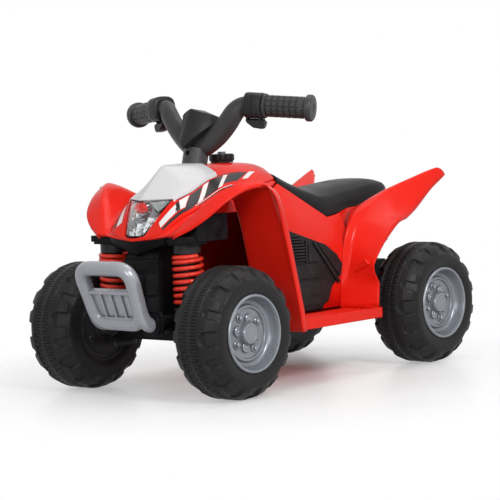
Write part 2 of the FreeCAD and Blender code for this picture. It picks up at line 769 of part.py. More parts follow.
# Chassis tub with front rails, steering plate and rear axle lugs

tub_top = "tub_base + tub_height"
tub_outer = block("tub_outer", ("-tub_half", "tub_front", "tub_base"), ("tub_half", "tub_back", tub_top))
tub_inner = block("tub_inner", ("-tub_half + tub_wall", "tub_front + tub_wall", "tub_base + tub_wall"),
                  ("tub_half - tub_wall", "tub_back - tub_wall", tub_top + " + overrun"))
tub_rails = []
for side, low, high in (("left", "tub_half - rail_width", "tub_half"),
                        ("right", "-tub_half", "-tub_half + rail_width")):
    tub_rails.append(block("rail_" + side, (low, "block_back", "rail_base"),
                           (high, "tub_front", "rail_base + rail_height")))
    lug_low = (low, rear_axle_y + " - axle_lug_half", "wheel_radius - axle_lug_drop")
    lug_high = (high, rear_axle_y + " + axle_lug_half", "tub_base")
    tub_rails.append(block("axle_lug_" + side, lug_low, lug_high))
steering_plate = block("steering_plate", ("-tub_half + rail_width", "block_back", "plate_base"),
                       ("tub_half - rail_width", "plate_back", "plate_base + plate_height"))
axle_tube = cylinder("axle_tube", "axle_tube_radius", hub_inner_x + " - fit_gap - tub_half", "tub_half",
                     rear_axle_y, "wheel_radius", along_x)
shaft_hole = cylinder("shaft_hole", "shaft_radius + run_gap", "shaft_length")
place(shaft_hole, "0", shaft_y, "shaft_foot_z", column_turn)
axle_hole = cylinder("axle_hole", "axle_radius + run_gap", "track", "-track / 2", rear_axle_y, "wheel_radius",
                     along_x)
gear_x = "(-tub_half - skin_gap - case_depth)"
idler_reach = "(gear_module * (output_teeth + idler_small_teeth) / 2 + centre_slack)"
pinion_reach = "(fine_module * (idler_big_teeth + pinion_teeth) / 2 + centre_slack)"
idler_y = "(%s + %s * cos(idler_angle * 1deg))" % (rear_axle_y, idler_reach)
idler_z = "(wheel_radius + %s * sin(idler_angle * 1deg))" % idler_reach
pinion_y = "(%s + %s * cos(pinion_angle * 1deg))" % (idler_y, pinion_reach)
pinion_z = "(%s + %s * sin(pinion_angle * 1deg))" % (idler_z, pinion_reach)
motor_hole = cylinder("motor_hole", "motor_radius + skin_gap", "2 * tub_wall", "-tub_half - tub_wall / 2",
                      pinion_y, pinion_z, along_x)
tub_holes = [
    cylinder("tub_screw_hole_%d" % index, "screw_radius + run_gap", "tub_wall + overrun", "(%s)" % spot[0],
             "(%s)" % spot[1], "tub_base - overrun / 2") for index, spot in enumerate(screw_spots)
]
tub_shell = cut("tub_shell", tub_outer, [tub_inner])
tub_whole = fuse("tub_whole", [tub_shell, steering_plate, axle_tube] + tub_rails)
keep(cut("chassis_tub", tub_whole, [shaft_hole, axle_hole, motor_hole] + tub_holes), "chassis_tub")

# Front block under the nose, with the ribbed bracket that takes the shock absorbers

centre_block = new_body("centre_block")
centre_plan = sketch(centre_block, "centre_plan")
outline(centre_plan, [
    ("-prow_share * block_half", "block_front"), ("prow_share * block_half", "block_front"),
    ("block_half", "block_cheek"), ("block_half", "block_back"), ("-block_half", "block_back"),
    ("-block_half", "block_cheek"),
])
pad(centre_block, centre_plan, "block_top - " + beam_top)
place(centre_block, "0", "0", beam_top)
bracket = block("bracket", ("-bracket_half", "bracket_front", "bracket_base"),
                ("bracket_half", "bracket_back", "bracket_top"))
crown = block("crown", ("-bracket_half", "crown_front", "bracket_base"),
              ("bracket_half", "bracket_back", "bracket_base + crown_height"))
bracket_ribs = []
for side in (1, -1):
    for index in range(int(size("rib_count"))):
        along = "bracket_front + (bracket_back - bracket_front) * %.3f" % ((index + 0.5) / size("rib_count"))
        low, high = ("bracket_half", "bracket_half + rib_reach")
        if side < 0:
            low, high = ("-bracket_half - rib_reach", "-bracket_half")
        rib_name = "rib_%s_%d" % ("left" if side > 0 else "right", index)
        rib_end = (high, along + " + rib_thickness", "bracket_top")
        bracket_ribs.append(block(rib_name, (low, along, "bracket_base"), rib_end))
block_whole = fuse("block_whole", [centre_block, bracket, crown] + bracket_ribs)
block_room = block("block_room", ("-block_half + wall", "block_cheek + wall", beam_top + " + wall"),
                   ("block_half - wall", "block_back + overrun", "bracket_base - wall"))
nose_envelope = solid("nose_envelope", tank_clear)
keep(cut("front_block", block_whole, [nose_envelope, block_room]), "front_block")

# Front axle beam: kingpin ears at its ends, horns for the bumper at its front

beam_end = "(%s - barrel_radius - fit_gap)" % kingpin_x
beam_parts = [block("beam_bar", ("-" + beam_end, front_axle_y + " - beam_depth / 2", beam_base),
                    (beam_end, front_axle_y + " + beam_depth / 2", beam_top))]
beam_holes = []
for side, sign in (("left", ""), ("right", "-")):
    x = sign + kingpin_x
    for level, base in (("upper", beam_top), ("lower", beam_base + " - ear_height")):
        ear = "%s_%s" % (level, side)
        beam_parts.append(cylinder("ear_" + ear, "ear_radius", "ear_height", x, front_axle_y, base))
        ends = [beam_end + " - ear_radius", kingpin_x]
        if sign:
            ends = ["-" + kingpin_x, "-" + beam_end + " + ear_radius"]
        beam_parts.append(block("ear_arm_" + ear, (ends[0], front_axle_y + " - ear_radius", base),
                                (ends[1], front_axle_y + " + ear_radius", base + " + ear_height")))
    beam_holes.append(cylinder("trunnion_hole_" + side, "trunnion_radius + run_gap",
                               "beam_height + 2 * ear_height + 2 * overrun", x, front_axle_y,
                               beam_base + " - ear_height - overrun"))
    horn_x = sign + horn_offset
    horn_y = front_axle_y + " - beam_depth / 2 - horn_reach"
    beam_parts.append(cylinder("horn_" + side, "horn_radius", "horn_reach + beam_depth / 2", horn_x, horn_y,
                               "horn_z", along_y))
    beam_holes.append(cylinder("horn_bore_" + side, "bumper_arm_radius + run_gap", "horn_depth", horn_x,
                               horn_y, "horn_z", along_y))
beam_whole = fuse("beam_whole", beam_parts)
keep(cut("axle_beam", beam_whole, beam_holes), "axle_beam")

# Tubes along bent routes

def rounded_route(points, bend, closed=False):
    count = len(points)
    corners = range(count) if closed else range(1, count - 1)
    arcs = {}
    for index in corners:
        here = points[index]
        back = (points[index - 1] - here).normalize()
        ahead = (points[(index + 1) % count] - here).normalize()
        half_angle = back.getAngle(ahead) / 2
        bisector = (back + ahead).normalize()
        reach = bend / math.tan(half_angle)
        middle = here + bisector * (bend / math.sin(half_angle) - bend)
        arcs[index] = (here + back * reach, middle, here + ahead * reach)
    edges = []
    last = points[0] if not closed else arcs[count - 1][2]
    for index in range(0 if closed else 1, count):
        if index not in arcs:
            edges.append(Part.makeLine(last, points[index]))
            continue
        start, middle, end = arcs[index]
        edges.append(Part.makeLine(last, start))
        edges.append(Part.Arc(start, middle, end).toShape())
        last = end
    return Part.Wire(edges)


def tube(route, radius):
    start = route.OrderedEdges[0]
    heading = start.tangentAt(start.FirstParameter)
    circle = Part.Wire(Part.makeCircle(radius, start.valueAt(start.FirstParameter), heading))
    return route.makePipeShell([circle], True, False)


# Bumper: a closed tube loop, a ribbed plate in its lower half and two arms into the horns

bumper_top = [vector(sign * size("bumper_top_half"), size("bumper_top_y"), size("bumper_top_z"))
              for sign in (1, -1)]
bumper_foot = [vector(sign * size("bumper_foot_half"), size("bumper_foot_y"), size("bumper_foot_z"))
               for sign in (-1, 1)]
bumper_loop = tube(rounded_route(bumper_top + bumper_foot, size("bumper_bend"), True), size("bumper_radius"))
plate_share = ((size("bumper_plate_top_z") - size("bumper_foot_z"))
               / (size("bumper_top_z") - size("bumper_foot_z")))
loop_normal = (bumper_top[0] - bumper_foot[1]).cross(vector(1, 0, 0)).normalize()


def plate_block(low_share, high_share, left_share, right_share, depth):
    corners = []
    for high, across in ((low_share, left_share), (low_share, right_share),
                         (high_share, right_share), (high_share, left_share)):
        left = blend(bumper_foot[1], bumper_top[0], high)
        right = blend(bumper_foot[0], bumper_top[1], high)
        corners.append(blend(left, right, across))
    shift = loop_normal * (depth / 2)
    return ruled([[point - shift for point in corners], [point + shift for point in corners]])


bumper = bumper_loop.fuse(plate_block(0, plate_share, 0, 1, size("bumper_plate_thickness")))
bumper_rib_shares = [0.26, 0.5, 0.74]
bumper_rib_width_share = 0.03
for rib in bumper_rib_shares:
    bumper = bumper.fuse(plate_block(0, plate_share, rib - bumper_rib_width_share / 2,
                                     rib + bumper_rib_width_share / 2, 1.6 * size("bumper_plate_thickness")))
arm_back = value(front_axle_y + " - beam_depth / 2 - horn_reach + horn_depth - fit_gap")
for sign in (1, -1):
    start = vector(sign * value(horn_offset), size("bumper_foot_y"), size("horn_z"))
    arm = Part.makeCylinder(size("bumper_arm_radius"), arm_back - start.y, start, vector(0, 1, 0))
    bumper = bumper.fuse(arm)
keep(solid("bumper", bumper.removeSplitter()), "bumper")

# Shock absorbers: a damper turned in one piece and a coil round it

shock_foot_z = "(%s + ear_height + skin_gap)" % beam_top
damper_profile = [
    ("0", shock_foot_z), ("shock_foot_radius", shock_foot_z), ("shock_foot_radius", "spring_seat_z"),
    ("spring_seat_radius", "spring_seat_z"), ("spring_seat_radius", "spring_seat_z + spring_seat_height"),
    ("damper_radius", "spring_seat_z + spring_seat_height"), ("damper_radius", "shock_body_z"),
    ("shock_body_radius", "shock_body_z"), ("shock_body_radius", "bracket_base - skin_gap"),
    ("0", "bracket_base - skin_gap"),
]


def biarc(start, start_heading, end, end_heading):
    span = end - start
    twist = 2 * (1 - start_heading.dot(end_heading))
    both = span.dot(start_heading + end_heading)
    reach = (math.sqrt(both ** 2 + twist * span.dot(span)) - both) / twist
    first = start + start_heading * reach
    second = end - end_heading * reach
    middle = (first + second) / 2
    return [half_arc(start, first, middle), half_arc(middle, second, end)]


def half_arc(start, corner, end):
    chord_middle = (start + end) / 2
    lean = corner - chord_middle
    half = (end - start).Length / 2
    bow = half * math.tan(math.atan2(lean.Length, half) / 2)
    return Part.Arc(start, chord_middle + lean.normalize() * bow, end).toShape()


def coil_route(base, top):
    # straight ends square to the seats, a quarter turn in and out, then an even helix
    radius = size("coil_radius")
    wire = 2 * size("wire_radius")
    rise = size("coil_rise")
    low = base + wire + rise
    height = top - base - 2 * (wire + rise)
    turns = height / size("coil_pitch")
    quarters = max(4, round(4 * turns))
    slope = height / quarters

    def spot(step):
        angle = math.pi / 2 * (step + 1)
        return vector(radius * math.cos(angle), radius * math.sin(angle), low + slope * step)

    def heading(step):
        angle = math.pi / 2 * (step + 1)
        side = radius * math.pi / 2
        return vector(-side * math.sin(angle), side * math.cos(angle), slope).normalize()

    up = vector(0, 0, 1)
    first = spot(-1)
    first.z = base + wire
    last = spot(quarters + 1)
    last.z = top - wire
    edges = [Part.makeLine(first - up * wire, first)]
    edges += biarc(first, up, spot(0), heading(0))
    for step in range(quarters):
        edges += biarc(spot(step), heading(step), spot(step + 1), heading(step + 1))
    edges += biarc(spot(quarters), heading(quarters), last, up)
    edges.append(Part.makeLine(last, last + up * wire))
    return edges


def least_gap(edges, wire):
    # closest approach of the tube to itself, on points half a turn or more apart
    points = []
    for edge in edges:
        points += edge.discretize(9)[:-1]
    apart = 40
    nearest = min((points[index] - points[other]).Length
                  for index in range(len(points)) for other in range(index + apart, len(points)))
    return nearest - 2 * wire


coil_base = value("spring_seat_z + spring_seat_height + fit_gap")
coil_top = value("shock_body_z - fit_gap")
coil_edges = coil_route(coil_base, coil_top)
print("coil spring least gap to itself: %.2f mm" % least_gap(coil_edges, size("wire_radius")))
coil = tube(Part.Wire(coil_edges), size("wire_radius"))
for side, sign in (("left", 1), ("right", -1)):
    damper = new_body("damper_" + side)
    damper_face = sketch(damper, "damper_face_" + side, "XZ_Plane")
    outline(damper_face, damper_profile)
    revolve(damper, damper_face, "V_Axis")
    keep(place(damper, "%d * shock_x" % sign, "shock_y"), "damper_" + side)
    spring = solid("coil_spring_" + side, coil if sign > 0 else flip(coil))
    keep(place(spring, "%d * shock_x" % sign, "shock_y"), "coil_spring_" + side)

# Wheels: a moulded tyre with its own web and hub, and a rim trim pressed into its face

tyre_profile = [
    ("-bead_width / 2", "axle_radius + run_gap"), ("-bead_width / 2 + hub_length", "axle_radius + run_gap"),
    ("-bead_width / 2 + hub_length", "hub_radius"), ("-bead_width / 2 + tyre_wall", "hub_radius"),
    ("-bead_width / 2 + tyre_wall", "rim_radius"),
    ("-tyre_width / 2 + tyre_wall", "rim_radius + tyre_wall"),
    ("-tyre_width / 2 + tyre_wall", "wheel_radius - sidewall_drop"),
    ("-cheek_width / 2 + tyre_wall", "wheel_radius - cheek_drop - tyre_wall"),
    ("-shoulder_width / 2", "wheel_radius - shoulder_drop - 1.4 * tyre_wall"),
    ("shoulder_width / 2", "wheel_radius - shoulder_drop - 1.4 * tyre_wall"),
    ("cheek_width / 2 - tyre_wall", "wheel_radius - cheek_drop - tyre_wall"),
    ("tyre_width / 2 - tyre_wall", "wheel_radius - sidewall_drop"),
    ("tyre_width / 2 - tyre_wall", "rim_radius + tyre_wall"),
    ("bead_width / 2 - tyre_wall", "rim_radius + skin_gap"), ("bead_width / 2", "rim_radius + skin_gap"),
    ("tyre_width / 2", "rim_radius + tyre_wall"), ("tyre_width / 2", "wheel_radius - sidewall_drop"),
    ("cheek_width / 2", "wheel_radius - cheek_drop"), ("shoulder_width / 2", "wheel_radius - shoulder_drop"),
    ("tread_flat / 2", "wheel_radius"), ("-tread_flat / 2", "wheel_radius"),
    ("-shoulder_width / 2", "wheel_radius - shoulder_drop"),
    ("-cheek_width / 2", "wheel_radius - cheek_drop"),
    ("-tyre_width / 2", "wheel_radius - sidewall_drop"), ("-tyre_width / 2", "rim_radius + tyre_wall"),
    ("-bead_width / 2", "rim_radius"), ("-bead_width / 2", "web_groove_radius"),
    ("-bead_width / 2 + web_groove_depth", "web_groove_radius"),
    ("-bead_width / 2 + web_groove_depth", "web_groove_radius - web_groove_width"),
    ("-bead_width / 2", "web_groove_radius - web_groove_width"),
]
lip_face = "tyre_width / 2 + rim_lip_proud"
dish_face = "(tyre_width / 2 - rim_dish_depth)"
rim_profile = [
    (dish_face + " + rim_step_height + cap_height", "0"),
    (dish_face + " + rim_step_height + cap_height", "cap_radius - rim_wall / 2"),
    (dish_face + " + rim_step_height", "cap_radius"),
    (dish_face + " + rim_step_height", "rim_step_radius - rim_step_height"), (dish_face, "rim_step_radius"),
    (dish_face, "rim_dish_radius"), (dish_face + " + rim_slope", "rim_dish_radius + rim_slope / 2"),
    (lip_face + " - rim_wall", "rim_radius - rim_lip_width - rim_wall / 2"),
    (lip_face, "rim_radius - rim_lip_width"),
    (lip_face, "rim_radius - rim_wall / 2"), ("bead_width / 2", "rim_radius"),
    ("bead_width / 2 - tyre_wall", "rim_radius"),
    ("bead_width / 2 - tyre_wall", "rim_radius - rim_lip_width"),
    (dish_face + " + rim_slope - rim_wall", "rim_dish_radius + rim_slope / 2 + rim_wall / 2"),
    (dish_face + " - rim_wall", "rim_dish_radius + rim_wall / 2"), (dish_face + " - rim_wall", "0"),
]
lug_shares = (0.55, 0.8, 0.7)


def lug_slot(kind):
    # a slot with a round inner end, its floor following the shoulder down to the sidewall
    half = size(kind + "_half")
    depth = size(kind + "_depth")
    middle = size(kind + "_inner") + half
    base = size("rim_radius")
    crown = size("wheel_radius")
    tall = crown - base + size("overrun")
    far = size("tyre_width") / 2 + size("overrun")
    slot = Part.makeBox(far - middle, 2 * half, tall, vector(middle, -half, base))
    slot = slot.fuse(Part.makeCylinder(half, tall, vector(middle, 0, base)))
    cheek = vector(size("cheek_width") / 2, 0, crown - size("cheek_drop"))
    sidewall = vector(size("tyre_width") / 2, 0, crown - size("sidewall_drop"))
    lean, fall, leave_share = lug_shares
    leave = blend(cheek, sidewall, leave_share)
    first = size("tread_flat") / 2
    floor = [
        vector(first, 0, crown - depth),
        vector(size("shoulder_width") / 2, 0, crown - size("shoulder_drop") - depth),
        cheek - vector(lean * depth, 0, fall * depth), leave, vector(far, 0, leave.z),
        vector(far, 0, crown + size("overrun")), vector(first, 0, crown + size("overrun")),
    ]
    face = Part.Face(Part.makePolygon(floor + floor[:1]))
    return slot.common(face.revolve(vector(0, 0, 0), vector(1, 0, 0), 360))


def tyre_shape():
    blank = new_body("tyre_blank")
    face = sketch(blank, "tyre_face")
    outline(face, tyre_profile)
    revolve(blank, face)
    doc.recompute()
    count = int(size("lug_count"))
    half_step = 180 / count
    slots = []
    for kind, offset in (("lug", 0), ("small_lug", half_step)):
        slot = lug_slot(kind)
        for index in range(count):
            for shape, turn in ((slot, 0), (flip(slot), half_step / 2)):
                copy = shape.copy()
                copy.rotate(vector(0, 0, 0), vector(1, 0, 0), offset + turn + 2 * half_step * index)
                slots.append(copy)
    return blank.Shape.cut(slots)


def make_rim(name):
    body = new_body(name)
    face = sketch(body, name + "_face")
    outline(face, rim_profile)
    revolve(body, face)
    doc.recompute()
    bolt = body.newObject("PartDesign::AdditiveCylinder", name + "_bolt")
    bind(bolt, Radius="bolt_radius", Height="bolt_height + rim_wall / 2")
    seat_x = value(dish_face + " + rim_step_height - rim_wall / 2")
    bolt.Placement = FreeCAD.Placement(vector(seat_x, 0, size("bolt_circle")), along_x)
    body.Tip = bolt
    polar(body, [bolt], "bolt_count")
    return body


tyre = tyre_shape()
for end, axle_y in (("front", front_axle_y), ("rear", rear_axle_y)):
    for side, x, turn in (("left", wheel_x, along_z), ("right", "-" + wheel_x, facing_right)):
        name = "%s_%s" % (end, side)
        keep(place(solid("tyre_" + name, tyre), x, axle_y, "wheel_radius", turn), "tyre_" + name)
        keep(place(make_rim("rim_" + name), x, axle_y, "wheel_radius", turn), "rim_" + name)

# Rear axle and lock nuts

keep(cylinder("rear_axle", "axle_radius", "2 * " + axle_end_x, "-" + axle_end_x, rear_axle_y, "wheel_radius",
              along_x), "rear_axle")


def lock_nut(name, sign, y):
    hexagon = doc.addObject("Part::Prism", name + "_hexagon")
    hexagon.Polygon = 6
    bind(hexagon, Circumradius="nut_radius", Height="nut_length")
    start = "%d * (%s + fit_gap)" % (sign, hub_outer_x)
    if sign < 0:
        start += " - nut_length"
    place(hexagon, start, y, "wheel_radius", along_x)
    bore = cylinder(name + "_bore", "axle_radius + run_gap", "nut_length + 2 * overrun",
                    start + " - overrun", y, "wheel_radius", along_x)
    return cut(name, hexagon, [bore])


rear_nuts = doc.addObject("Part::Compound", "rear_nuts")
rear_nuts.Links = [lock_nut("rear_nut_left", 1, rear_axle_y), lock_nut("rear_nut_right", -1, rear_axle_y)]
keep(rear_nuts, "rear_lock_nuts")

# Steering knuckles with stub axles

for side, sign in (("left", 1), ("right", -1)):
    x = "%d * %s" % (sign, kingpin_x)
    outward = along_x if sign > 0 else FreeCAD.Rotation(vector(0, 1, 0), -90)
    pin_y = front_axle_y + " + steer_arm"
    arm_base = arm_top + " - arm_thickness"
    pieces = [
        cylinder("barrel_" + side, "barrel_radius", "beam_height - 2 * fit_gap", x, front_axle_y,
                 beam_base + " + fit_gap"),
        cylinder("trunnion_" + side, "trunnion_radius", "%s + ear_height - (%s)" % (beam_top, arm_base), x,
                 front_axle_y, arm_base),
        cylinder("stub_boss_" + side, "boss_radius", hub_inner_x + " - fit_gap - " + kingpin_x, x,
                 front_axle_y, "wheel_radius", outward),
        cylinder("arm_root_" + side, "arm_width / 2", "arm_thickness", x, front_axle_y, arm_base),
        cylinder("arm_tip_" + side, "arm_width / 2", "arm_thickness", x, pin_y, arm_base),
        block("arm_" + side, (x + " - arm_width / 2", front_axle_y, arm_base),
              (x + " + arm_width / 2", pin_y, arm_top)),
        cylinder("link_pin_" + side, "link_pin_radius", "arm_thickness + rod_thickness + 2 * fit_gap", x,
                 pin_y, arm_base),
    ]
    stub_start = "%d * (%s + trunnion_radius)" % (sign, kingpin_x)
    stub_length = "%s - %s - trunnion_radius" % (axle_end_x, kingpin_x)
    stub_bore = cylinder("stub_bore_" + side, "axle_radius + run_gap", stub_length, stub_start, front_axle_y,
                         "wheel_radius", outward)
    knuckle = fuse("knuckle_whole_" + side, pieces)
    keep(cut("knuckle_" + side, knuckle, [stub_bore]), "steering_knuckle_" + side)
    keep(cylinder("stub_axle_" + side, "axle_radius", stub_length, stub_start, front_axle_y, "wheel_radius",
                  outward), "stub_axle_" + side)
    keep(lock_nut("front_nut_" + side, sign, front_axle_y), "front_lock_nut_" + side)

# Tie rod with a tab that the crank pin works in

crank_y = ("(%s + steer_arm * cos(column_rake * 1deg)"
           " - crank_pin_length / 2 * sin(column_rake * 1deg))" % shaft_y)
rod_y = "(%s + steer_arm)" % front_axle_y
tab_reach = "(%s - %s + rod_width)" % (crank_y, rod_y)
rod = new_body("tie_rod")
rod_face = sketch(rod, "rod_face")
rod_end = kingpin_x + " + rod_width"
outline(rod_face, [
    ("-" + kingpin_x + " - rod_width", "-rod_width / 2"), (rod_end, "-rod_width / 2"),
    (rod_end, "rod_width / 2"),
    ("rod_width", "rod_width / 2"), ("rod_width", tab_reach), ("-rod_width", tab_reach),
    ("-rod_width", "rod_width / 2"), ("-" + kingpin_x + " - rod_width", "rod_width / 2"),
])
ring(rod_face, (kingpin_x, "0"), "link_pin_radius + run_gap")
ring(rod_face, ("-" + kingpin_x, "0"), "link_pin_radius + fit_gap")
ring(rod_face, ("0", "%s - %s" % (crank_y, rod_y)), "link_pin_radius + crank_slack")
pad(rod, rod_face, "rod_thickness")
keep(place(rod, "0", rod_y, rod_base), "tie_rod")

# Steering shaft with its crank, drawn along the column and then raked

shaft = cylinder("shaft", "shaft_radius", "shaft_length")
crank = block("crank", ("-crank_width / 2", "-shaft_radius - wall / 2", "0"),
              ("crank_width / 2", "steer_arm + crank_width / 2", "crank_thickness"))
crank_pin = cylinder("crank_pin", "link_pin_radius", "crank_pin_length + crank_thickness", "0", "steer_arm",
                     "-crank_pin_length")
shaft_whole = fuse("steering_shaft", [shaft, crank, crank_pin])
keep(place(shaft_whole, "0", shaft_y, "shaft_foot_z", column_turn), "steering_shaft")

# Handlebar: one tube bent up and out from the column sleeve

bar_head = vector(0, size("bar_head_y"), size("bar_head_z"))
bar_sag = vector(size("bar_sag_x"), size("bar_sag_y"), size("bar_sag_z"))
bar_bend = vector(size("bar_bend_x"), size("bar_bend_y"), size("bar_bend_z"))
bar_end = vector(size("bar_end_x"), size("bar_end_y"), size("bar_end_z"))


def other_side(point):
    return vector(-point.x, point.y, point.z)


bar_half = [bar_sag, bar_bend, bar_end]
bar_route = rounded_route([other_side(point) for point in bar_half[::-1]] + [bar_head] + bar_half,
                          size("bar_bend_radius"))
sleeve_foot = column_point(size("column_z") - size("sleeve_drop"))
sleeve_length = (size("sleeve_drop") + size("sleeve_rise")) / column_axis.z
handlebar = tube(bar_route, size("bar_radius"))
handlebar = handlebar.fuse(Part.makeCylinder(size("sleeve_radius"), sleeve_length, sleeve_foot, column_axis))
screw_spot = column_point(size("column_z") + size("sleeve_rise") / 2)
screw_heading = vector(0, -column_axis.z, column_axis.y)
screw_hole = Part.makeCylinder(size("column_screw_radius"), size("sleeve_radius"), screw_spot, screw_heading)
handlebar = handlebar.cut(column_bore(size("shaft_radius") + size("run_gap"))).cut(screw_hole)
keep(solid("handlebar", handlebar), "handlebar")

# Grips, switch housings and thumb levers, drawn along the bar's straight end

bar_heading = (bar_end - bar_bend).normalize()
down = vector(0, 0, -1)
down = (down - bar_heading * down.dot(bar_heading)).normalize()
bar_turn = (math.pi - (bar_sag - bar_bend).getAngle(bar_heading)) / 2
housing_start = bar_bend + bar_heading * (size("bar_bend_radius") * math.tan(bar_turn) + gap)
grip_start = housing_start + bar_heading * (size("housing_length") + gap)
grip_length = (bar_end - grip_start).Length + gap + size("bar_end_wall")


def on_bar(start):
    return FreeCAD.Placement(start, FreeCAD.Rotation(down, bar_heading.cross(down), bar_heading, "ZXY"))


def grip_shape():
    bore = size("bar_radius") + skin
    outer = size("grip_radius")
    ribbed = grip_length - size("end_cap_length")
    step = ribbed / size("grip_rings")
    inner = outer - size("grip_groove")
    points = [(bore, 0), (outer, 0)]
    for index in range(1, int(size("grip_rings"))):
        low = index * step - size("grip_groove_width") / 2
        high = low + size("grip_groove_width")
        points += [(outer, low), (inner, low), (inner, high), (outer, high)]
    cap = size("end_cap_radius")
    points += [(outer, ribbed), (cap, ribbed), (cap, grip_length - wall), (cap - wall, grip_length),
               (0, grip_length), (0, grip_length - size("bar_end_wall")),
               (bore, grip_length - size("bar_end_wall"))]
    corners = [vector(r, 0, z) for r, z in points]
    face = Part.Face(Part.makePolygon(corners + corners[:1]))
    return face.revolve(vector(0, 0, 0), vector(0, 0, 1), 360)


lever_pin_x = size("housing_radius") + size("lever_barrel") / 2
ear_low = (size("housing_length") - size("lever_width")) / 2 - wall


def housing_shape():
    length = size("housing_length")
    radius = size("housing_radius")
    shell = Part.makeCylinder(radius, length)
    ears = Part.makeBox(lever_pin_x + size("lever_barrel"), 2 * size("lever_barrel"),
                        size("lever_width") + 2 * wall, vector(0, -size("lever_barrel"), ear_low))
    shell = shell.fuse(ears)
    slot = Part.makeBox(3 * size("lever_barrel"), 4 * radius, size("lever_width"),
                        vector(lever_pin_x - size("lever_barrel") - gap, -2 * radius, ear_low + wall))
    shell = shell.cut(slot)
    bore = Part.makeCylinder(size("bar_radius") + skin, length)
    pin_bore = Part.makeCylinder(size("lever_pin_radius") + size("run_gap"), length,
                                 vector(lever_pin_x, 0, 0))
    return shell.cut(bore).cut(pin_bore)


def lever_shape():
    width = size("lever_width") - 2 * gap
    low = ear_low + wall + gap
    barrel = size("lever_barrel") - gap
    shape = Part.makeCylinder(barrel, width, vector(lever_pin_x, 0, low))
    pin_low = ear_low
    shape = shape.fuse(Part.makeCylinder(size("lever_pin_radius"), size("lever_width") + 2 * wall,
                                         vector(lever_pin_x, 0, pin_low)))
    blade = [vector(lever_pin_x, -barrel, low), vector(lever_pin_x + size("lever_drop"), -barrel, low),
             vector(lever_pin_x + size("lever_drop"), -barrel + size("lever_thickness") / 2, low),
             vector(lever_pin_x, barrel, low)]
    return shape.fuse(Part.Face(Part.makePolygon(blade + blade[:1])).extrude(vector(0, 0, width)))


def hand_pair(left_label, right_label, shape, start):
    for side_label, mirror in ((left_label, False), (right_label, True)):
        placed = shape.copy()
        placed.Placement = on_bar(start)
        placed = flip(placed) if mirror else placed
        keep(solid(side_label, placed), side_label)


hand_pair("grip_left", "grip_right", grip_shape(), grip_start)
hand_pair("switch_housing_left", "switch_housing_right", housing_shape(), housing_start)
hand_pair("horn_lever", "throttle_lever", lever_shape(), housing_start)
print("lever pin", on_bar(housing_start).multVec(vector(lever_pin_x, 0, 0)), "axis", bar_heading)

# Faceted pad in front of the handlebar

pad_shares = [
    # half width, then place up the leaning front face
    (0.08, 0.0), (0.5, 0.59), (0.46, 1.0),
]


def pad_ring(depth):
    lean = vector(0, size("pad_lean"), size("pad_rise"))
    inward = vector(0, size("pad_rise"), -size("pad_lean")).normalize()
    points = []
    for half, high in pad_shares:
        point = vector(half * size("pad_width"), size("pad_front_y"), size("pad_base_z")) + lean * high
        points.append(point + inward * depth)
    return points


bar_clear = tube(bar_route, size("bar_radius") + gap)
sleeve_clear = Part.makeCylinder(size("sleeve_radius") + gap, sleeve_length + gap, sleeve_foot, column_axis)
pad_shape = whole([pad_ring(0), pad_ring(size("pad_thickness"))]).cut(bar_clear).cut(sleeve_clear)
pad_shape = max(pad_shape.Solids, key=lambda piece: piece.Volume)
keep(solid("handlebar_pad", pad_shape), "handlebar_pad")

# Fuel cap with scalloped edge, and the push button in its middle

filler = new_body("fuel_cap")
filler_plan = sketch(filler, "filler_plan")
ring(filler_plan, ("0", "0"), "filler_radius")
pad(filler, filler_plan, "filler_height")
scallop_plan = sketch(filler, "scallop_plan")
ring(scallop_plan, ("filler_radius + scallop_radius / 2", "0"), "scallop_radius")
doc.recompute()
scallop = pocket(filler, scallop_plan, "filler_height + overrun", True)
polar(filler, [scallop], "filler_scallops", "Z_Axis")
button_well = sketch(filler, "button_well")
ring(button_well, ("0", "0"), "button_radius + fit_gap")
bind(button_well, AttachmentOffset__Base__z="filler_height")
pocket(filler, button_well, "button_depth + button_travel")
filler_base = "(tank_top + skin_gap)"
keep(place(filler, "0", "filler_y", filler_base), "fuel_cap")
button = cylinder("cap_button", "button_radius", "button_depth + button_proud", "0", "filler_y",
                  filler_base + " + filler_height - button_depth")
keep(button, "cap_button")

# Gear train: straight flanks with room to spare, a tooth of the driven gear between two of the driver

tooth_shares = [
    # radius in modules from the pitch circle, half tooth width in shares of the pitch
    (-1.2, 0.25), (0.0, 0.17), (0.85, 0.08),
]


def gear(module, teeth, width, phase, start):
    pitch_radius = module * teeth / 2
    pitch_angle = 2 * math.pi / teeth
    points = []
    for tooth in range(teeth):
        middle = math.radians(phase) + tooth * pitch_angle
        flank = [(pitch_radius + out * module, half * pitch_angle) for out, half in tooth_shares]
        for radius, half in [(r, -h) for r, h in flank] + [(r, h) for r, h in reversed(flank)]:
            points.append(vector(start, radius * math.cos(middle + half), radius * math.sin(middle + half)))
    return Part.Face(Part.makePolygon(points + points[:1])).extrude(vector(width, 0, 0))


def turned(radius, start, end):
    return Part.makeCylinder(radius, end - start, vector(start, 0, 0), vector(1, 0, 0))


def teeth(alias):
    return int(size(alias))


case_start = value(gear_x)
case_end = case_start + size("case_depth")
case_middle = (case_start + case_end) / 2
gear_start = case_start + size("case_wall") + gap * 4
gear_end = gear_start + size("output_width")
fine_start = gear_end + gap * 5
fine_end = fine_start + size("fine_width")
idler_angle = size("idler_angle")
pinion_angle = size("pinion_angle")
half_turn = 180

output = gear(size("gear_module"), teeth("output_teeth"), size("output_width"), idler_angle, gear_start)
sleeve_end = case_end - size("case_wall") - gap
output = output.fuse(turned(size("drive_sleeve_radius"), -value(hub_inner_x) + skin, sleeve_end))
output = output.cut(turned(size("axle_radius") + size("run_gap"), -value(wheel_x), 0))
output_gear = solid("output_gear", output)
keep(place(output_gear, "0", rear_axle_y, "wheel_radius"), "output_gear")

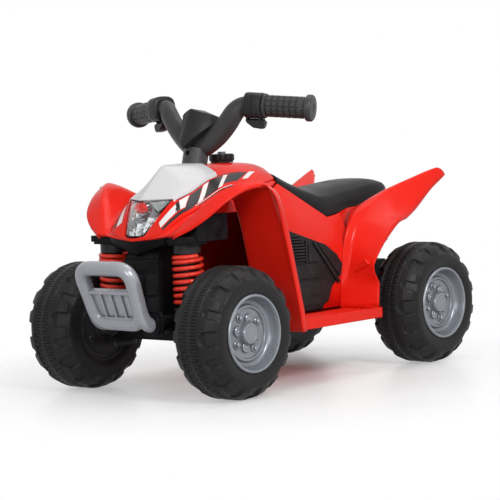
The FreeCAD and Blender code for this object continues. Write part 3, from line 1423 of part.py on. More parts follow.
small_phase = idler_angle + half_turn + half_turn / size("idler_small_teeth")
idler = gear(size("gear_module"), teeth("idler_small_teeth"), fine_start - gear_start, small_phase,
             gear_start)
idler_big = gear(size("fine_module"), teeth("idler_big_teeth"), size("fine_width"), pinion_angle, fine_start)
idler = idler.fuse(idler_big)
idler = idler.fuse(turned(size("idler_pin_radius"), case_start, case_end))
keep(place(solid("idler_gear", idler), "0", idler_y, idler_z), "idler_gear")

motor_start = -size("tub_half")
pinion_phase = pinion_angle + half_turn + half_turn / size("pinion_teeth")
pinion = gear(size("fine_module"), teeth("pinion_teeth"), size("fine_width"), pinion_phase, fine_start)
pinion = pinion.fuse(turned(size("motor_shaft_radius"), fine_start, motor_start + size("motor_length") / 2))
keep(place(solid("motor_pinion", pinion), "0", pinion_y, pinion_z), "motor_pinion")

motor_can = cylinder("motor_can", "motor_radius", "motor_length", "-tub_half", pinion_y, pinion_z, along_x)
motor_bore = cylinder("motor_bore", "motor_shaft_radius + run_gap", "motor_length / 2 + fit_gap",
                      "-tub_half", pinion_y, pinion_z, along_x)
keep(cut("drive_motor", motor_can, [motor_bore]), "drive_motor")


def tip_radius(module, count):
    return "%s * (%s / 2 + %.2f)" % (module, count, tooth_shares[-1][0])


case_spots = [
    ("output", rear_axle_y, "wheel_radius", tip_radius("gear_module", "output_teeth")),
    ("idler", idler_y, idler_z, tip_radius("fine_module", "idler_big_teeth")),
    ("pinion", pinion_y, pinion_z, tip_radius("fine_module", "pinion_teeth")),
]
for side, start, room in (("outer", gear_x, gear_x + " + case_wall"),
                          ("inner", gear_x + " + case_depth / 2", gear_x + " + case_depth / 2")):
    shells = []
    rooms = []
    for name, y, z, radius in case_spots:
        shells.append(cylinder("case_%s_%s" % (side, name), radius + " + case_margin + case_wall",
                               "case_depth / 2", start, y, z, along_x))
        rooms.append(cylinder("room_%s_%s" % (side, name), radius + " + case_margin",
                              "case_depth / 2 - case_wall", room, y, z, along_x))
    holes = [cylinder("case_idler_" + side, "idler_pin_radius + run_gap", "2 * case_depth",
                      gear_x + " - case_depth / 2", idler_y, idler_z, along_x)]
    if side == "outer":
        holes.append(cylinder("case_sleeve", "drive_sleeve_radius + fit_gap", "case_depth",
                              gear_x + " - case_depth / 4", rear_axle_y, "wheel_radius", along_x))
    else:
        holes.append(cylinder("case_axle", "axle_radius + fit_gap", "case_depth", start, rear_axle_y,
                              "wheel_radius", along_x))
        holes.append(cylinder("case_shaft", "motor_shaft_radius + fit_gap", "case_depth", start, pinion_y,
                              pinion_z, along_x))
    case_whole = fuse("case_whole_" + side, shells)
    keep(cut("gearbox_case_" + side, case_whole, rooms + holes), "gearbox_case_" + side)

# Battery on the tub floor, charging socket in the tail, wire from motor to battery

battery_floor = "(tub_base + tub_wall)"
keep(block("battery", ("-battery_x / 2", "battery_front", battery_floor),
           ("battery_x / 2", "battery_front + battery_y", battery_floor + " + battery_z")), "battery")
socket_body = cylinder("socket_body", "socket_radius", "socket_length", "0",
                       "body_back + skin_gap - socket_length", "socket_z", along_y)
socket_rim = cylinder("socket_rim", "socket_flange", "socket_flange_thickness", "0", "body_back + skin_gap",
                      "socket_z", along_y)
socket_bore = cylinder("socket_bore_cut", "socket_bore", "socket_depth", "0",
                       "body_back + skin_gap + socket_flange_thickness - socket_depth", "socket_z", along_y)
keep(cut("charge_socket", fuse("socket_whole", [socket_body, socket_rim]), [socket_bore]), "charge_socket")
wire = size("wire_half")
wire_bend = 4 * wire
motor_tail = vector(motor_start + size("motor_length") + gap, value(pinion_y), value(pinion_z))
battery_back = size("battery_front") + size("battery_y") + gap + wire_bend
floor_z = value(battery_floor) + gap + wire
battery_top = floor_z + size("battery_z")
wire_x = motor_tail.x + 3 * wire_bend
wire_route = rounded_route([
    motor_tail, vector(wire_x, motor_tail.y, motor_tail.z), vector(wire_x, motor_tail.y, floor_z),
    vector(wire_x, battery_back, floor_z), vector(wire_x, battery_back, battery_top),
    vector(wire_x, battery_back - size("battery_y") / 2, battery_top),
], wire_bend)
keep(solid("wiring", tube(wire_route, wire)), "wiring")

# Write the pieces

doc.recompute()
os.makedirs("parts", exist_ok=True)
for item in nodes:
    shape = item.Shape
    if "Invalid" in item.State or "Error" in item.State or shape.isNull() or not shape.isValid():
        raise RuntimeError("bad piece: %s %s" % (item.Label, item.State))
    box = shape.BoundBox
    print(item.Label, len(shape.Solids), round(shape.Volume), [round(v) for v in (
        box.XMin, box.XMax, box.YMin, box.YMax, box.ZMin, box.ZMax)])
    shape.exportStep("parts/%s.step" % item.Label)
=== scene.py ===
import bmesh
import bpy
import math
from mathutils import Matrix, Vector
from mathutils.bvhtree import BVHTree


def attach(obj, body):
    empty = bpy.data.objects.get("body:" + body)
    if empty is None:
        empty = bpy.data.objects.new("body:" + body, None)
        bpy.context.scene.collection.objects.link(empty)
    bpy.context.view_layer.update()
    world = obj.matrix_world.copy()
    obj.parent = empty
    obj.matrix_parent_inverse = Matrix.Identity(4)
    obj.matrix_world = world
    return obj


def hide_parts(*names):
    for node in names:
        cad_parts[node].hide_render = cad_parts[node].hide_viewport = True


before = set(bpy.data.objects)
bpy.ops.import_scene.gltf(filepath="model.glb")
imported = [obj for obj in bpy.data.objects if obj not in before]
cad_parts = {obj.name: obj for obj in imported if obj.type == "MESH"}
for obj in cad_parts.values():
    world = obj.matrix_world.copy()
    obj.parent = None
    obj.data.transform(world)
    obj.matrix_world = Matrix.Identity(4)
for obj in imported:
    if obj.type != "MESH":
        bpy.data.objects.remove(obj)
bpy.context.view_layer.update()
mm = 0.001
bothSides = ((1, "left"), (-1, "right"))  # the rider's left is +X
print("frame loaded", len(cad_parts), "nodes")

# camera fitted to the photograph: angles in degrees, lengths in millimetres
cameraSetup = {
    "azimuth": 41.053, "elevation": 3.856, "roll": -2.248, "distance": 3119.8,
    "target": (0, -5.385, 196.426), "lens": 143.97, "sensor": 36, "farClip": 50,
}


def placeCamera(setup):
    az, el, roll = (math.radians(setup[key]) for key in ("azimuth", "elevation", "roll"))
    back = Vector((math.sin(az) * math.cos(el), -math.cos(az) * math.cos(el), math.sin(el)))
    right = Vector((math.cos(az), math.sin(az), 0))
    up = back.cross(right)
    across = right * math.cos(roll) + up * math.sin(roll)
    above = up * math.cos(roll) - right * math.sin(roll)
    spot = Vector(setup["target"]) * mm + back * (setup["distance"] * mm)
    lens = bpy.data.cameras.new("photoCamera")
    lens.lens = setup["lens"]
    lens.sensor_width = setup["sensor"]
    lens.clip_end = setup["farClip"]
    camera = bpy.data.objects.new("photoCamera", lens)
    turn = Matrix((across, above, back)).transposed().to_4x4()
    camera.matrix_world = Matrix.Translation(spot) @ turn
    bpy.context.scene.collection.objects.link(camera)
    bpy.context.scene.camera = camera


placeCamera(cameraSetup)


# shader helpers: an item is a plain value or the output that feeds the socket
def feed(tree, socket, item):
    if isinstance(item, bpy.types.NodeSocket):
        tree.links.new(item, socket)
    else:
        socket.default_value = item


def addNode(tree, kind, inputs=None, **settings):
    node = tree.nodes.new(kind)
    for key, value in settings.items():
        setattr(node, key, value)
    for key, item in (inputs or {}).items():
        feed(tree, node.inputs[key], item)
    return node


def mathNode(tree, operation, *items, clamp=False):
    inputs = dict(enumerate(items))
    return addNode(tree, "ShaderNodeMath", inputs, operation=operation, use_clamp=clamp).outputs[0]


def mixColors(tree, factor, first, second):
    return addNode(tree, "ShaderNodeMix", {0: factor, 6: first, 7: second}, data_type="RGBA").outputs[2]


def scaleColor(tree, color, share):
    return addNode(tree, "ShaderNodeVectorMath", {0: color, "Scale": share}, operation="SCALE").outputs[0]


def objectPoint(tree):
    return addNode(tree, "ShaderNodeTexCoord").outputs["Object"]


def noiseNode(tree, scale, detail=3.0, rough=0.55):
    inputs = {"Vector": objectPoint(tree), "Scale": scale, "Detail": detail, "Roughness": rough}
    return addNode(tree, "ShaderNodeTexNoise", inputs).outputs["Fac"]


def rangeNode(tree, value, low, high, outLow=0.0, outHigh=1.0):
    inputs = {"Value": value, "From Min": low, "From Max": high, "To Min": outLow, "To Max": outHigh}
    return addNode(tree, "ShaderNodeMapRange", inputs).outputs["Result"]


# shared shader effects, each a node group with one output
def newGroup(name, inputs, output):
    def addSocket(label, side, color):
        kind = "NodeSocketColor" if color else "NodeSocketFloat"
        return tree.interface.new_socket(label, in_out=side, socket_type=kind)

    tree = bpy.data.node_groups.new(name, "ShaderNodeTree")
    for label, start in inputs.items():
        addSocket(label, "INPUT", isinstance(start, tuple)).default_value = start
    addSocket(output, "OUTPUT", output == "Color")
    return tree, tree.nodes.new("NodeGroupInput").outputs, tree.nodes.new("NodeGroupOutput").inputs


def makeToneGroup():
    # slow colour drift of a moulded surface
    tree, start, end = newGroup("mouldTone", {"Color": (1, 1, 1, 1), "Scale": 9.0, "Amount": 0.1}, "Color")
    shade = rangeNode(tree, noiseNode(tree, start["Scale"], 4), 0.3, 0.7, -1.0, 1.0)
    lift = mathNode(tree, "MULTIPLY_ADD", shade, start["Amount"], 1.0)
    feed(tree, end["Color"], scaleColor(tree, start["Color"], lift))
    return tree


def makeGrainGroup():
    # fine tooth of a spark-eroded mould plus a slow ripple
    tree, start, end = newGroup("mouldGrain", {"Scale": 900.0, "Ripple": 0.3}, "Height")
    fine = noiseNode(tree, start["Scale"], 2)
    slow = noiseNode(tree, 14.0, 1)
    feed(tree, end["Height"], mathNode(tree, "MULTIPLY_ADD", slow, start["Ripple"], fine))
    return tree


def makeRubAndHighlightGroup():
    # paler edges where the surface is sharp: rubbed wear, and on the tyre a painted highlight along the lug
    # edges
    tree, start, end = newGroup("edgeRubAndHighlight", {"Amount": 0.5, "Start": 0.53}, "Mask")
    sharp = addNode(tree, "ShaderNodeNewGeometry").outputs["Pointiness"]
    edge = rangeNode(tree, sharp, start["Start"], mathNode(tree, "ADD", start["Start"], 0.09))
    patchy = rangeNode(tree, noiseNode(tree, 60.0, 4), 0.35, 0.65)
    worn = mathNode(tree, "MULTIPLY", edge, patchy)
    feed(tree, end["Mask"], mathNode(tree, "MULTIPLY", worn, start["Amount"], clamp=True))
    return tree


def makeDustGroup():
    # thin dust on faces that look up
    tree, start, end = newGroup("dustFall", {"Amount": 0.1, "Scale": 40.0}, "Mask")
    normal = addNode(tree, "ShaderNodeNewGeometry").outputs["Normal"]
    height = addNode(tree, "ShaderNodeSeparateXYZ", {0: normal}).outputs["Z"]
    upward = rangeNode(tree, height, 0.25, 1.0)
    speck = rangeNode(tree, noiseNode(tree, start["Scale"], 6, 0.7), 0.4, 0.8)
    fall = mathNode(tree, "MULTIPLY", upward, speck)
    feed(tree, end["Mask"], mathNode(tree, "MULTIPLY", fall, start["Amount"], clamp=True))
    return tree


def makeCavityGroup():
    # painted shade: base colour darker in grooves and corners of the same piece
    tree, start, end = newGroup("paintedCavityShade", {"Amount": 0.5}, "Mask")
    hollow = addNode(tree, "ShaderNodeAmbientOcclusion", {"Distance": 0.009}, samples=6, only_local=True)
    depth = rangeNode(tree, hollow.outputs["AO"], 0.35, 0.95, 1.0, 0.0)
    loss = mathNode(tree, "MULTIPLY", depth, start["Amount"])
    feed(tree, end["Mask"], mathNode(tree, "SUBTRACT", 1.0, loss, clamp=True))
    return tree


toneGroup = makeToneGroup()
grainGroup = makeGrainGroup()
rubAndHighlightGroup = makeRubAndHighlightGroup()
dustGroup = makeDustGroup()
cavityGroup = makeCavityGroup()


def useGroup(tree, group, **values):
    return addNode(tree, "ShaderNodeGroup", values, node_tree=group).outputs[0]


def newMaterial(name):
    material = bpy.data.materials.new(name)
    material.use_nodes = True
    return material, material.node_tree, material.node_tree.nodes["Principled BSDF"].inputs


# cavity sets the strength of the painted shade in grooves and corners
plainFinish = {
    "specular": 0.5, "metal": 0.0, "coat": 0.0, "tone": 0.05, "dust": 0.06, "cavity": 0.4, "bump": 0.12,
    "grainScale": 900.0,
}
dustColor = (0.42, 0.40, 0.38, 1)
grainDepth = 0.00006  # metres


def moulded(name, values):
    # one recipe for every opaque finish: tone, paler edges (rubbed wear, and on the tyre a painted
    # highlight), dust, painted shade and more roughness in grooves, and grain
    finish = {**plainFinish, **values}
    material, tree, shader = newMaterial(name)
    rubAndHighlight = useGroup(tree, rubAndHighlightGroup, Amount=finish["rubAndHighlight"])
    dust = useGroup(tree, dustGroup, Amount=finish["dust"])
    cavity = useGroup(tree, cavityGroup, Amount=finish["cavity"])
    tone = useGroup(tree, toneGroup, Color=finish["color"] + (1,), Amount=finish["tone"])
    # paler edges: rubbed wear, and on the tyre a painted highlight
    rubbedAndHighlighted = mixColors(tree, rubAndHighlight, tone, finish["rubAndHighlightColor"] + (1,))
    dusty = mixColors(tree, dust, rubbedAndHighlighted, dustColor)
    # painted shade: the cavity mask darkens the base colour in grooves and corners
    feed(tree, shader["Base Color"], scaleColor(tree, dusty, cavity))
    low, high = finish["rough"] * 0.88, finish["rough"] * 1.14
    cloudy = rangeNode(tree, noiseNode(tree, 30.0, 4), 0.3, 0.7, low, high)
    matte = mathNode(tree, "MULTIPLY_ADD", dust, 0.4, cloudy, clamp=True)
    hollow = mathNode(tree, "SUBTRACT", 1.0, cavity)
    feed(tree, shader["Roughness"], mathNode(tree, "MULTIPLY_ADD", hollow, 0.5, matte, clamp=True))
    grain = useGroup(tree, grainGroup, Scale=finish["grainScale"])
    inputs = {"Strength": finish["bump"], "Distance": grainDepth, "Height": grain}
    feed(tree, shader["Normal"], addNode(tree, "ShaderNodeBump", inputs).outputs["Normal"])
    shader["Metallic"].default_value = finish["metal"]
    shader["IOR"].default_value = 1.5
    shader["Specular IOR Level"].default_value = finish["specular"]
    shader["Coat Weight"].default_value = finish["coat"]
    shader["Coat Roughness"].default_value = 0.08
    return material


finishes = {
    "redGloss": {"color": (0.80, 0.017, 0.008), "rough": 0.25, "specular": 0.13, "coat": 0.03, "tone": 0.03,
                 "rubAndHighlight": 0.05, "rubAndHighlightColor": (0.92, 0.13, 0.08), "dust": 0.0, "bump": 0.04},
    "whiteGloss": {"color": (0.62, 0.62, 0.63), "rough": 0.26, "specular": 0.3, "coat": 0.05, "tone": 0.02,
                   "rubAndHighlight": 0.1, "rubAndHighlightColor": (0.9, 0.9, 0.9), "dust": 0.03, "bump": 0.04},
    "blackSatin": {"color": (0.016, 0.016, 0.017), "rough": 0.4, "specular": 0.18, "tone": 0.2, "rubAndHighlight": 0.4,
                   "rubAndHighlightColor": (0.06, 0.06, 0.065), "dust": 0.03, "bump": 0.2},
    "barBlack": {"color": (0.030, 0.030, 0.032), "rough": 0.42, "specular": 0.34, "tone": 0.15, "rubAndHighlight": 0.4,
                 "rubAndHighlightColor": (0.07, 0.07, 0.075), "dust": 0.02, "bump": 0.2},
    "tubBlack": {"color": (0.006, 0.006, 0.007), "rough": 0.36, "specular": 0.06, "tone": 0.2, "rubAndHighlight": 0.5,
                 "rubAndHighlightColor": (0.045, 0.045, 0.05), "dust": 0.01, "bump": 0.15},
    "seatBlack": {"color": (0.013, 0.013, 0.014), "rough": 0.42, "specular": 0.1, "tone": 0.18, "rubAndHighlight": 0.3,
                  "rubAndHighlightColor": (0.05, 0.05, 0.055), "dust": 0.03, "bump": 0.35, "grainScale": 420.0},
    "panelBlack": {"color": (0.014, 0.014, 0.015), "rough": 0.38, "specular": 0.14, "tone": 0.2, "rubAndHighlight": 0.5,
                   "rubAndHighlightColor": (0.08, 0.08, 0.085), "cavity": 0.9, "dust": 0.02, "bump": 0.2},
    # the tyre's strong, pale edge rub is a painted highlight along the lug edges
    "tyreBlack": {"color": (0.014, 0.013, 0.014), "rough": 0.46, "specular": 0.18, "tone": 0.2, "rubAndHighlight": 0.9,
                  "rubAndHighlightColor": (0.14, 0.135, 0.135), "cavity": 0.6, "dust": 0.03, "bump": 0.3,
                  "grainScale": 600.0},
    "gripBlack": {"color": (0.032, 0.032, 0.034), "rough": 0.46, "specular": 0.34, "tone": 0.15, "rubAndHighlight": 0.5,
                  "rubAndHighlightColor": (0.06, 0.06, 0.06), "dust": 0.03, "bump": 0.35, "grainScale": 700.0},
    "silverGrey": {"color": (0.25, 0.265, 0.295), "rough": 0.28, "specular": 0.4, "metal": 0.5, "rubAndHighlight": 0.3,
                   "rubAndHighlightColor": (0.5, 0.52, 0.55), "dust": 0.03, "bump": 0.15, "grainScale": 1400.0},
    "bumperGrey": {"color": (0.34, 0.35, 0.385), "rough": 0.26, "specular": 0.4, "metal": 0.3, "tone": 0.04,
                   "rubAndHighlight": 0.3, "rubAndHighlightColor": (0.6, 0.62, 0.65), "dust": 0.01, "grainScale": 1400.0},
    "springRed": {"color": (0.80, 0.03, 0.013), "rough": 0.26, "specular": 0.3, "coat": 0.1, "tone": 0.06,
                  "rubAndHighlight": 0.3, "rubAndHighlightColor": (0.9, 0.25, 0.18), "dust": 0.02},
    "zincSteel": {"color": (0.58, 0.58, 0.60), "rough": 0.32, "metal": 1.0, "tone": 0.08, "rubAndHighlight": 0.3,
                  "rubAndHighlightColor": (0.8, 0.8, 0.8), "dust": 0.04},
    "chromeFoil": {"color": (0.86, 0.87, 0.88), "rough": 0.07, "metal": 1.0, "tone": 0.02, "rubAndHighlight": 0.1,
                   "rubAndHighlightColor": (0.95, 0.95, 0.95), "dust": 0.01, "bump": 0.02},
    # darker copy of chromeFoil: painted shade in the reflections of alternate mirror cells
    "chromePaintedShade": {"color": (0.22, 0.22, 0.23), "rough": 0.12, "metal": 1.0, "tone": 0.03, "rubAndHighlight": 0.1,
                    "rubAndHighlightColor": (0.5, 0.5, 0.5), "dust": 0.01, "bump": 0.02},
    "lampGrey": {"color": (0.30, 0.32, 0.31), "rough": 0.3, "specular": 0.3, "tone": 0.04, "rubAndHighlight": 0.1,
                 "rubAndHighlightColor": (0.5, 0.5, 0.5), "bump": 0.03},
    "gearWhite": {"color": (0.72, 0.70, 0.64), "rough": 0.4, "tone": 0.06, "rubAndHighlight": 0.2,
                  "rubAndHighlightColor": (0.85, 0.84, 0.8), "dust": 0.05},
    "gearBrass": {"color": (0.75, 0.56, 0.26), "rough": 0.3, "metal": 1.0, "tone": 0.1, "rubAndHighlight": 0.3,
                  "rubAndHighlightColor": (0.9, 0.74, 0.42)},
    "batteryGrey": {"color": (0.12, 0.13, 0.15), "rough": 0.45, "tone": 0.12, "rubAndHighlight": 0.4,
                    "rubAndHighlightColor": (0.3, 0.3, 0.32)},
    "decalBlack": {"color": (0.018, 0.017, 0.017), "rough": 0.28, "specular": 0.3, "tone": 0.12, "rubAndHighlight": 0.2,
                   "rubAndHighlightColor": (0.06, 0.06, 0.06), "bump": 0.04},
    "decalWhite": {"color": (0.80, 0.79, 0.78), "rough": 0.26, "specular": 0.3, "tone": 0.02, "rubAndHighlight": 0.1,
                   "rubAndHighlightColor": (0.85, 0.85, 0.85), "bump": 0.03},
}
materials = {name: moulded(name, finish) for name, finish in finishes.items()}


def makeLensClear():
    material, tree, shader = newMaterial("lensClear")
    tone = useGroup(tree, toneGroup, Color=(0.94, 0.96, 0.97, 1), Scale=20.0, Amount=0.02)
    feed(tree, shader["Base Color"], tone)
    feed(tree, shader["Roughness"], rangeNode(tree, noiseNode(tree, 50.0), 0.3, 0.7, 0.02, 0.06))
    shader["Transmission Weight"].default_value = 1.0
    shader["IOR"].default_value = 1.46
    return material


materials["lensClear"] = makeLensClear()
print("materials made", len(materials))


# mesh helpers, all in millimetres until newPiece scales them; a part is a list of points and a list of faces
def newPiece(name, points, faces, finish):
    mesh = bpy.data.meshes.new(name)
    mesh.from_pydata([Vector(point) * mm for point in points], [], faces)
    mesh.validate()
    mesh.materials.append(materials[finish])
    mesh.polygons.foreach_set("use_smooth", [True] * len(mesh.polygons))
    piece = bpy.data.objects.new(name, mesh)
    bpy.context.scene.collection.objects.link(piece)
    return piece


def sharpen(piece, degrees):
    piece.data.set_sharp_from_angle(angle=math.radians(degrees))


def settle(piece, body, slotName, *nodes):
    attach(piece, body)
    if nodes:
        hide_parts(*nodes)
    return piece


def faceOut(points, faces, facing):
    # turns all faces if their mean normal looks away from the given direction
    total = Vector((0, 0, 0))
    for face in faces:
        corners = [Vector(points[index]) for index in face[:3]]
        total += (corners[1] - corners[0]).cross(corners[2] - corners[0])
    if total.dot(Vector(facing)) < 0:
        return [tuple(reversed(face)) for face in faces]
    return faces


def gridFaces(rowCount, columnCount, closed=False):
    faces = []
    for row in range(rowCount - 1):
        for column in range(columnCount if closed else columnCount - 1):
            after = (column + 1) % columnCount
            low = row * columnCount
            faces.append((low + column, low + after, low + columnCount + after, low + columnCount + column))
    return faces


def setCreases(mesh, pairs):
    wanted = {tuple(sorted(pair)): value for pair, value in pairs.items()}
    layer = mesh.attributes.get("crease_edge") or mesh.attributes.new("crease_edge", "FLOAT", "EDGE")
    for edge in mesh.edges:
        layer.data[edge.index].value = wanted.get(tuple(sorted(edge.vertices)), 0.0)


def addThickness(piece, depth):
    shell = piece.modifiers.new("thickness", "SOLIDIFY")
    shell.thickness = depth * mm
    shell.offset = -1
    shell.use_even_offset = True
    shell.use_quality_normals = True
    shell.edge_crease_rim = 0.8


def addSmooth(piece, levels=2):
    smooth = piece.modifiers.new("smooth", "SUBSURF")
    smooth.levels = levels
    smooth.render_levels = levels
    smooth.use_limit_surface = False


def addBevel(piece, width, segments, angle):
    bevel = piece.modifiers.new("softEdge", "BEVEL")
    bevel.width = width * mm
    bevel.segments = segments
    bevel.limit_method = "ANGLE"
    bevel.angle_limit = math.radians(angle)
    bevel.harden_normals = False


def gridPiece(name, rows, finish, facing, shape):
    # a thick sheet through rows of points; a column's crease is one value or a list down the rows
    count = len(rows[0])
    points = [point for row in rows for point in row]
    piece = newPiece(name, points, faceOut(points, gridFaces(len(rows), count), facing), finish)
    pairs = {}
    for column, value in shape["columnCreases"].items():
        for row, crease in enumerate(value if isinstance(value, list) else [value] * (len(rows) - 1)):
            pairs[(row * count + column, (row + 1) * count + column)] = crease
    for row, crease in shape["rowCreases"].items():
        for column in range(count - 1):
            pairs[(row * count + column, row * count + column + 1)] = crease
    setCreases(piece.data, pairs)
    addThickness(piece, shape["thickness"])
    return piece


def mirrored(rows, sign):
    return [[(sign * x, y, z) for x, y, z in row] for row in rows]


def wholeRows(halfRows):
    # rows drawn from the middle outwards, closed by their mirror image
    return [flipped[:0:-1] + list(row) for flipped, row in zip(mirrored(halfRows, -1), halfRows)]


def circle(sides):
    return [2 * math.pi * step / sides for step in range(sides)]


def lathe(profile, sides, trim=None):
    # profile of (along, radius) turned round local X; trim(along, radius, step) gives another radius
    points = []
    for along, radius in profile:
        for step, angle in enumerate(circle(sides)):
            length = trim(along, radius, step) if trim else radius
            points.append((along, length * math.cos(angle), length * math.sin(angle)))
    return points, gridFaces(len(profile), sides, True)


def moved(part, matrix):
    points, faces = part
    return [tuple(matrix @ Vector(point)) for point in points], faces


def capFan(points, faces, ring):
    middle = sum((Vector(points[index]) for index in ring), Vector()) / len(ring)
    points.append(tuple(middle))
    for index in range(len(ring)):
        faces.append((ring[index], ring[(index + 1) % len(ring)], len(points) - 1))


def boxPart(low, high):
    corners = [(x, y, z) for z in (low[2], high[2]) for y in (low[1], high[1]) for x in (low[0], high[0])]
    faces = [(0, 2, 3, 1), (4, 5, 7, 6), (0, 1, 5, 4), (2, 6, 7, 3), (0, 4, 6, 2), (1, 3, 7, 5)]
    return corners, faces


def loftPart(rings):
    # closed rings of equal length joined one above the other, capped at both ends
    count = len(rings[0])
    points = [tuple(point) for ring in rings for point in ring]
    last = (len(rings) - 1) * count
    caps = [tuple(range(count))[::-1], tuple(range(last, last + count))]
    return points, gridFaces(len(rings), count, True) + caps


def prismPart(outline, low, high):
    # outline of (y, z) pairs, drawn out along X
    return loftPart([[(x, y, z) for y, z in outline] for x in (low, high)])


def slabPart(outline, low, high):
    # outline of (x, z) pairs, drawn out along Y
    return loftPart([[(x, y, z) for x, z in outline] for y in (low, high)])


def roundedPlan(low, high, corner, steps=5):
    # rounded rectangle as (a, b) pairs
    out = []
    corners = (high, (low[0], high[1]), low, (high[0], low[1]))
    for turn, (a, b) in enumerate(corners):
        a += corner * (-1 if turn in (0, 3) else 1)
        b += corner * (-1 if turn in (0, 1) else 1)
        for step in range(steps + 1):
            angle = math.pi / 2 * (turn + step / steps)
            out.append((a + corner * math.cos(angle), b + corner * math.sin(angle)))
    return out


def smoothPath(points, steps):
    # Catmull-Rom through the given points
    line = [Vector(point) for point in points]
    ends = [line[0] * 2 - line[1]] + line + [line[-1] * 2 - line[-2]]
    out = []
    for index in range(1, len(ends) - 2):
        a, b, c, d = ends[index - 1:index + 3]
        for step in range(steps):
            t = step / steps
            out.append(0.5 * ((2 * b) + (c - a) * t + (2 * a - 5 * b + 4 * c - d) * t * t
                              + (3 * b - a - 3 * c + d) * t ** 3))
    out.append(line[-1])
    return out


def sweepPart(path, rings, closed=False):
    # rings: one list of (side, up) offsets per path point, carried along without twist
    points = []
    count = len(rings[0])
    heading = (path[1] - path[0]).normalized()
    upright = abs(heading.z) > 0.95
    side = (heading.orthogonal() if upright else heading.cross(Vector((0, 0, 1)))).normalized()
    for index, here in enumerate(path):
        ahead = path[(index + 1) % len(path)] if closed or index + 1 < len(path) else here
        behind = path[index - 1] if closed or index else here
        heading = (ahead - behind).normalized()
        side = (side - heading * side.dot(heading)).normalized()
        up = side.cross(heading)
        points += [tuple(here + side * u + up * v) for u, v in rings[index]]
    faces = gridFaces(len(path), count, True)
    if closed:
        last = (len(path) - 1) * count
        faces += [(last + i, last + (i + 1) % count, (i + 1) % count, i) for i in range(count)]
    return points, faces


def ovalRing(deep, tall, sides):
    return [(deep * math.cos(angle), tall * math.sin(angle)) for angle in circle(sides)]


def weldKey(point, reach=0.05):
    return tuple(round(value / reach) for value in point)


def joinParts(parts):
    points = []
    faces = []
    for somePoints, someFaces in parts:
        shift = len(points)
        points += [tuple(point) for point in somePoints]
        faces += [tuple(index + shift for index in face) for face in someFaces]
    return points, faces


def patchPiece(name, patches, finish, creaseLines=()):
    # patches: (rows, facing), welded where their points coincide; creaseLines: (points, value)
    parts = []
    for rows, facing in patches:
        points = [tuple(point) for row in rows for point in row]
        parts.append((points, faceOut(points, gridFaces(len(rows), len(rows[0])), facing)))
    allPoints, allFaces = joinParts(parts)
    spots = {}
    kept = []
    for point in allPoints:
        if weldKey(point) not in spots:
            spots[weldKey(point)] = len(kept)
            kept.append(point)
    rings = [tuple(dict.fromkeys(spots[weldKey(allPoints[index])] for index in face)) for face in allFaces]
    piece = newPiece(name, kept, [ring for ring in rings if len(ring) > 2], finish)
    pairs = {}
    for line, value in creaseLines:
        found = [spots[weldKey(point)] for point in line]
        pairs.update({pair: value for pair in zip(found, found[1:])})
    setCreases(piece.data, pairs)
    return piece


def closedPiece(name, parts, finish, sharpAngle, bevel=None):
    points, faces = joinParts(parts)
    piece = newPiece(name, points, faces, finish)
    shape = bmesh.new()
    shape.from_mesh(piece.data)
    bmesh.ops.recalc_face_normals(shape, faces=shape.faces)
    shape.to_mesh(piece.data)
    shape.free()
    if sharpAngle:
        sharpen(piece, sharpAngle)
    if bevel:
        addBevel(piece, *bevel)
    return piece


def carve(piece, part, sharpAngle):
    # cuts a closed part out of the finished surface of a piece
    cutter = closedPiece("cutter", [part], "redGloss", None)
    cut = piece.modifiers.new("carve", "BOOLEAN")
    cut.object = cutter
    cut.solver = "EXACT"
    bpy.context.view_layer.update()
    deps = bpy.context.evaluated_depsgraph_get()
    mesh = bpy.data.meshes.new_from_object(piece.evaluated_get(deps))
    piece.modifiers.clear()
    old = piece.data
    piece.data = mesh
    bpy.data.meshes.remove(old)
    bpy.data.objects.remove(cutter)
    sharpen(piece, sharpAngle)


def lerp(first, second, share):
    return tuple(a + (b - a) * share for a, b in zip(first, second))


def shifted(point, step):
    return tuple(v + w for v, w in zip(point, step))


def bulged(first, second, share, lift):
    # a point between two others, pushed along the given vector
    return shifted(lerp(first, second, share), lift)


# the raked steering column, its axis along local Z
columnShape = {"tilt": math.radians(16), "foot": (0, -125.6, 335)}
columnPlace = Matrix.Translation(columnShape["foot"]) @ Matrix.Rotation(-columnShape["tilt"], 4, "X")


def columnPart(radius, low, high, sides=48):
    # cylinder round the column, between two heights over its foot
    rise = 1 / math.cos(columnShape["tilt"])
    ring = ovalRing(radius, radius, sides)
    return moved(loftPart([[(x, y, height * rise) for x, y in ring] for height in (low, high)]), columnPlace)


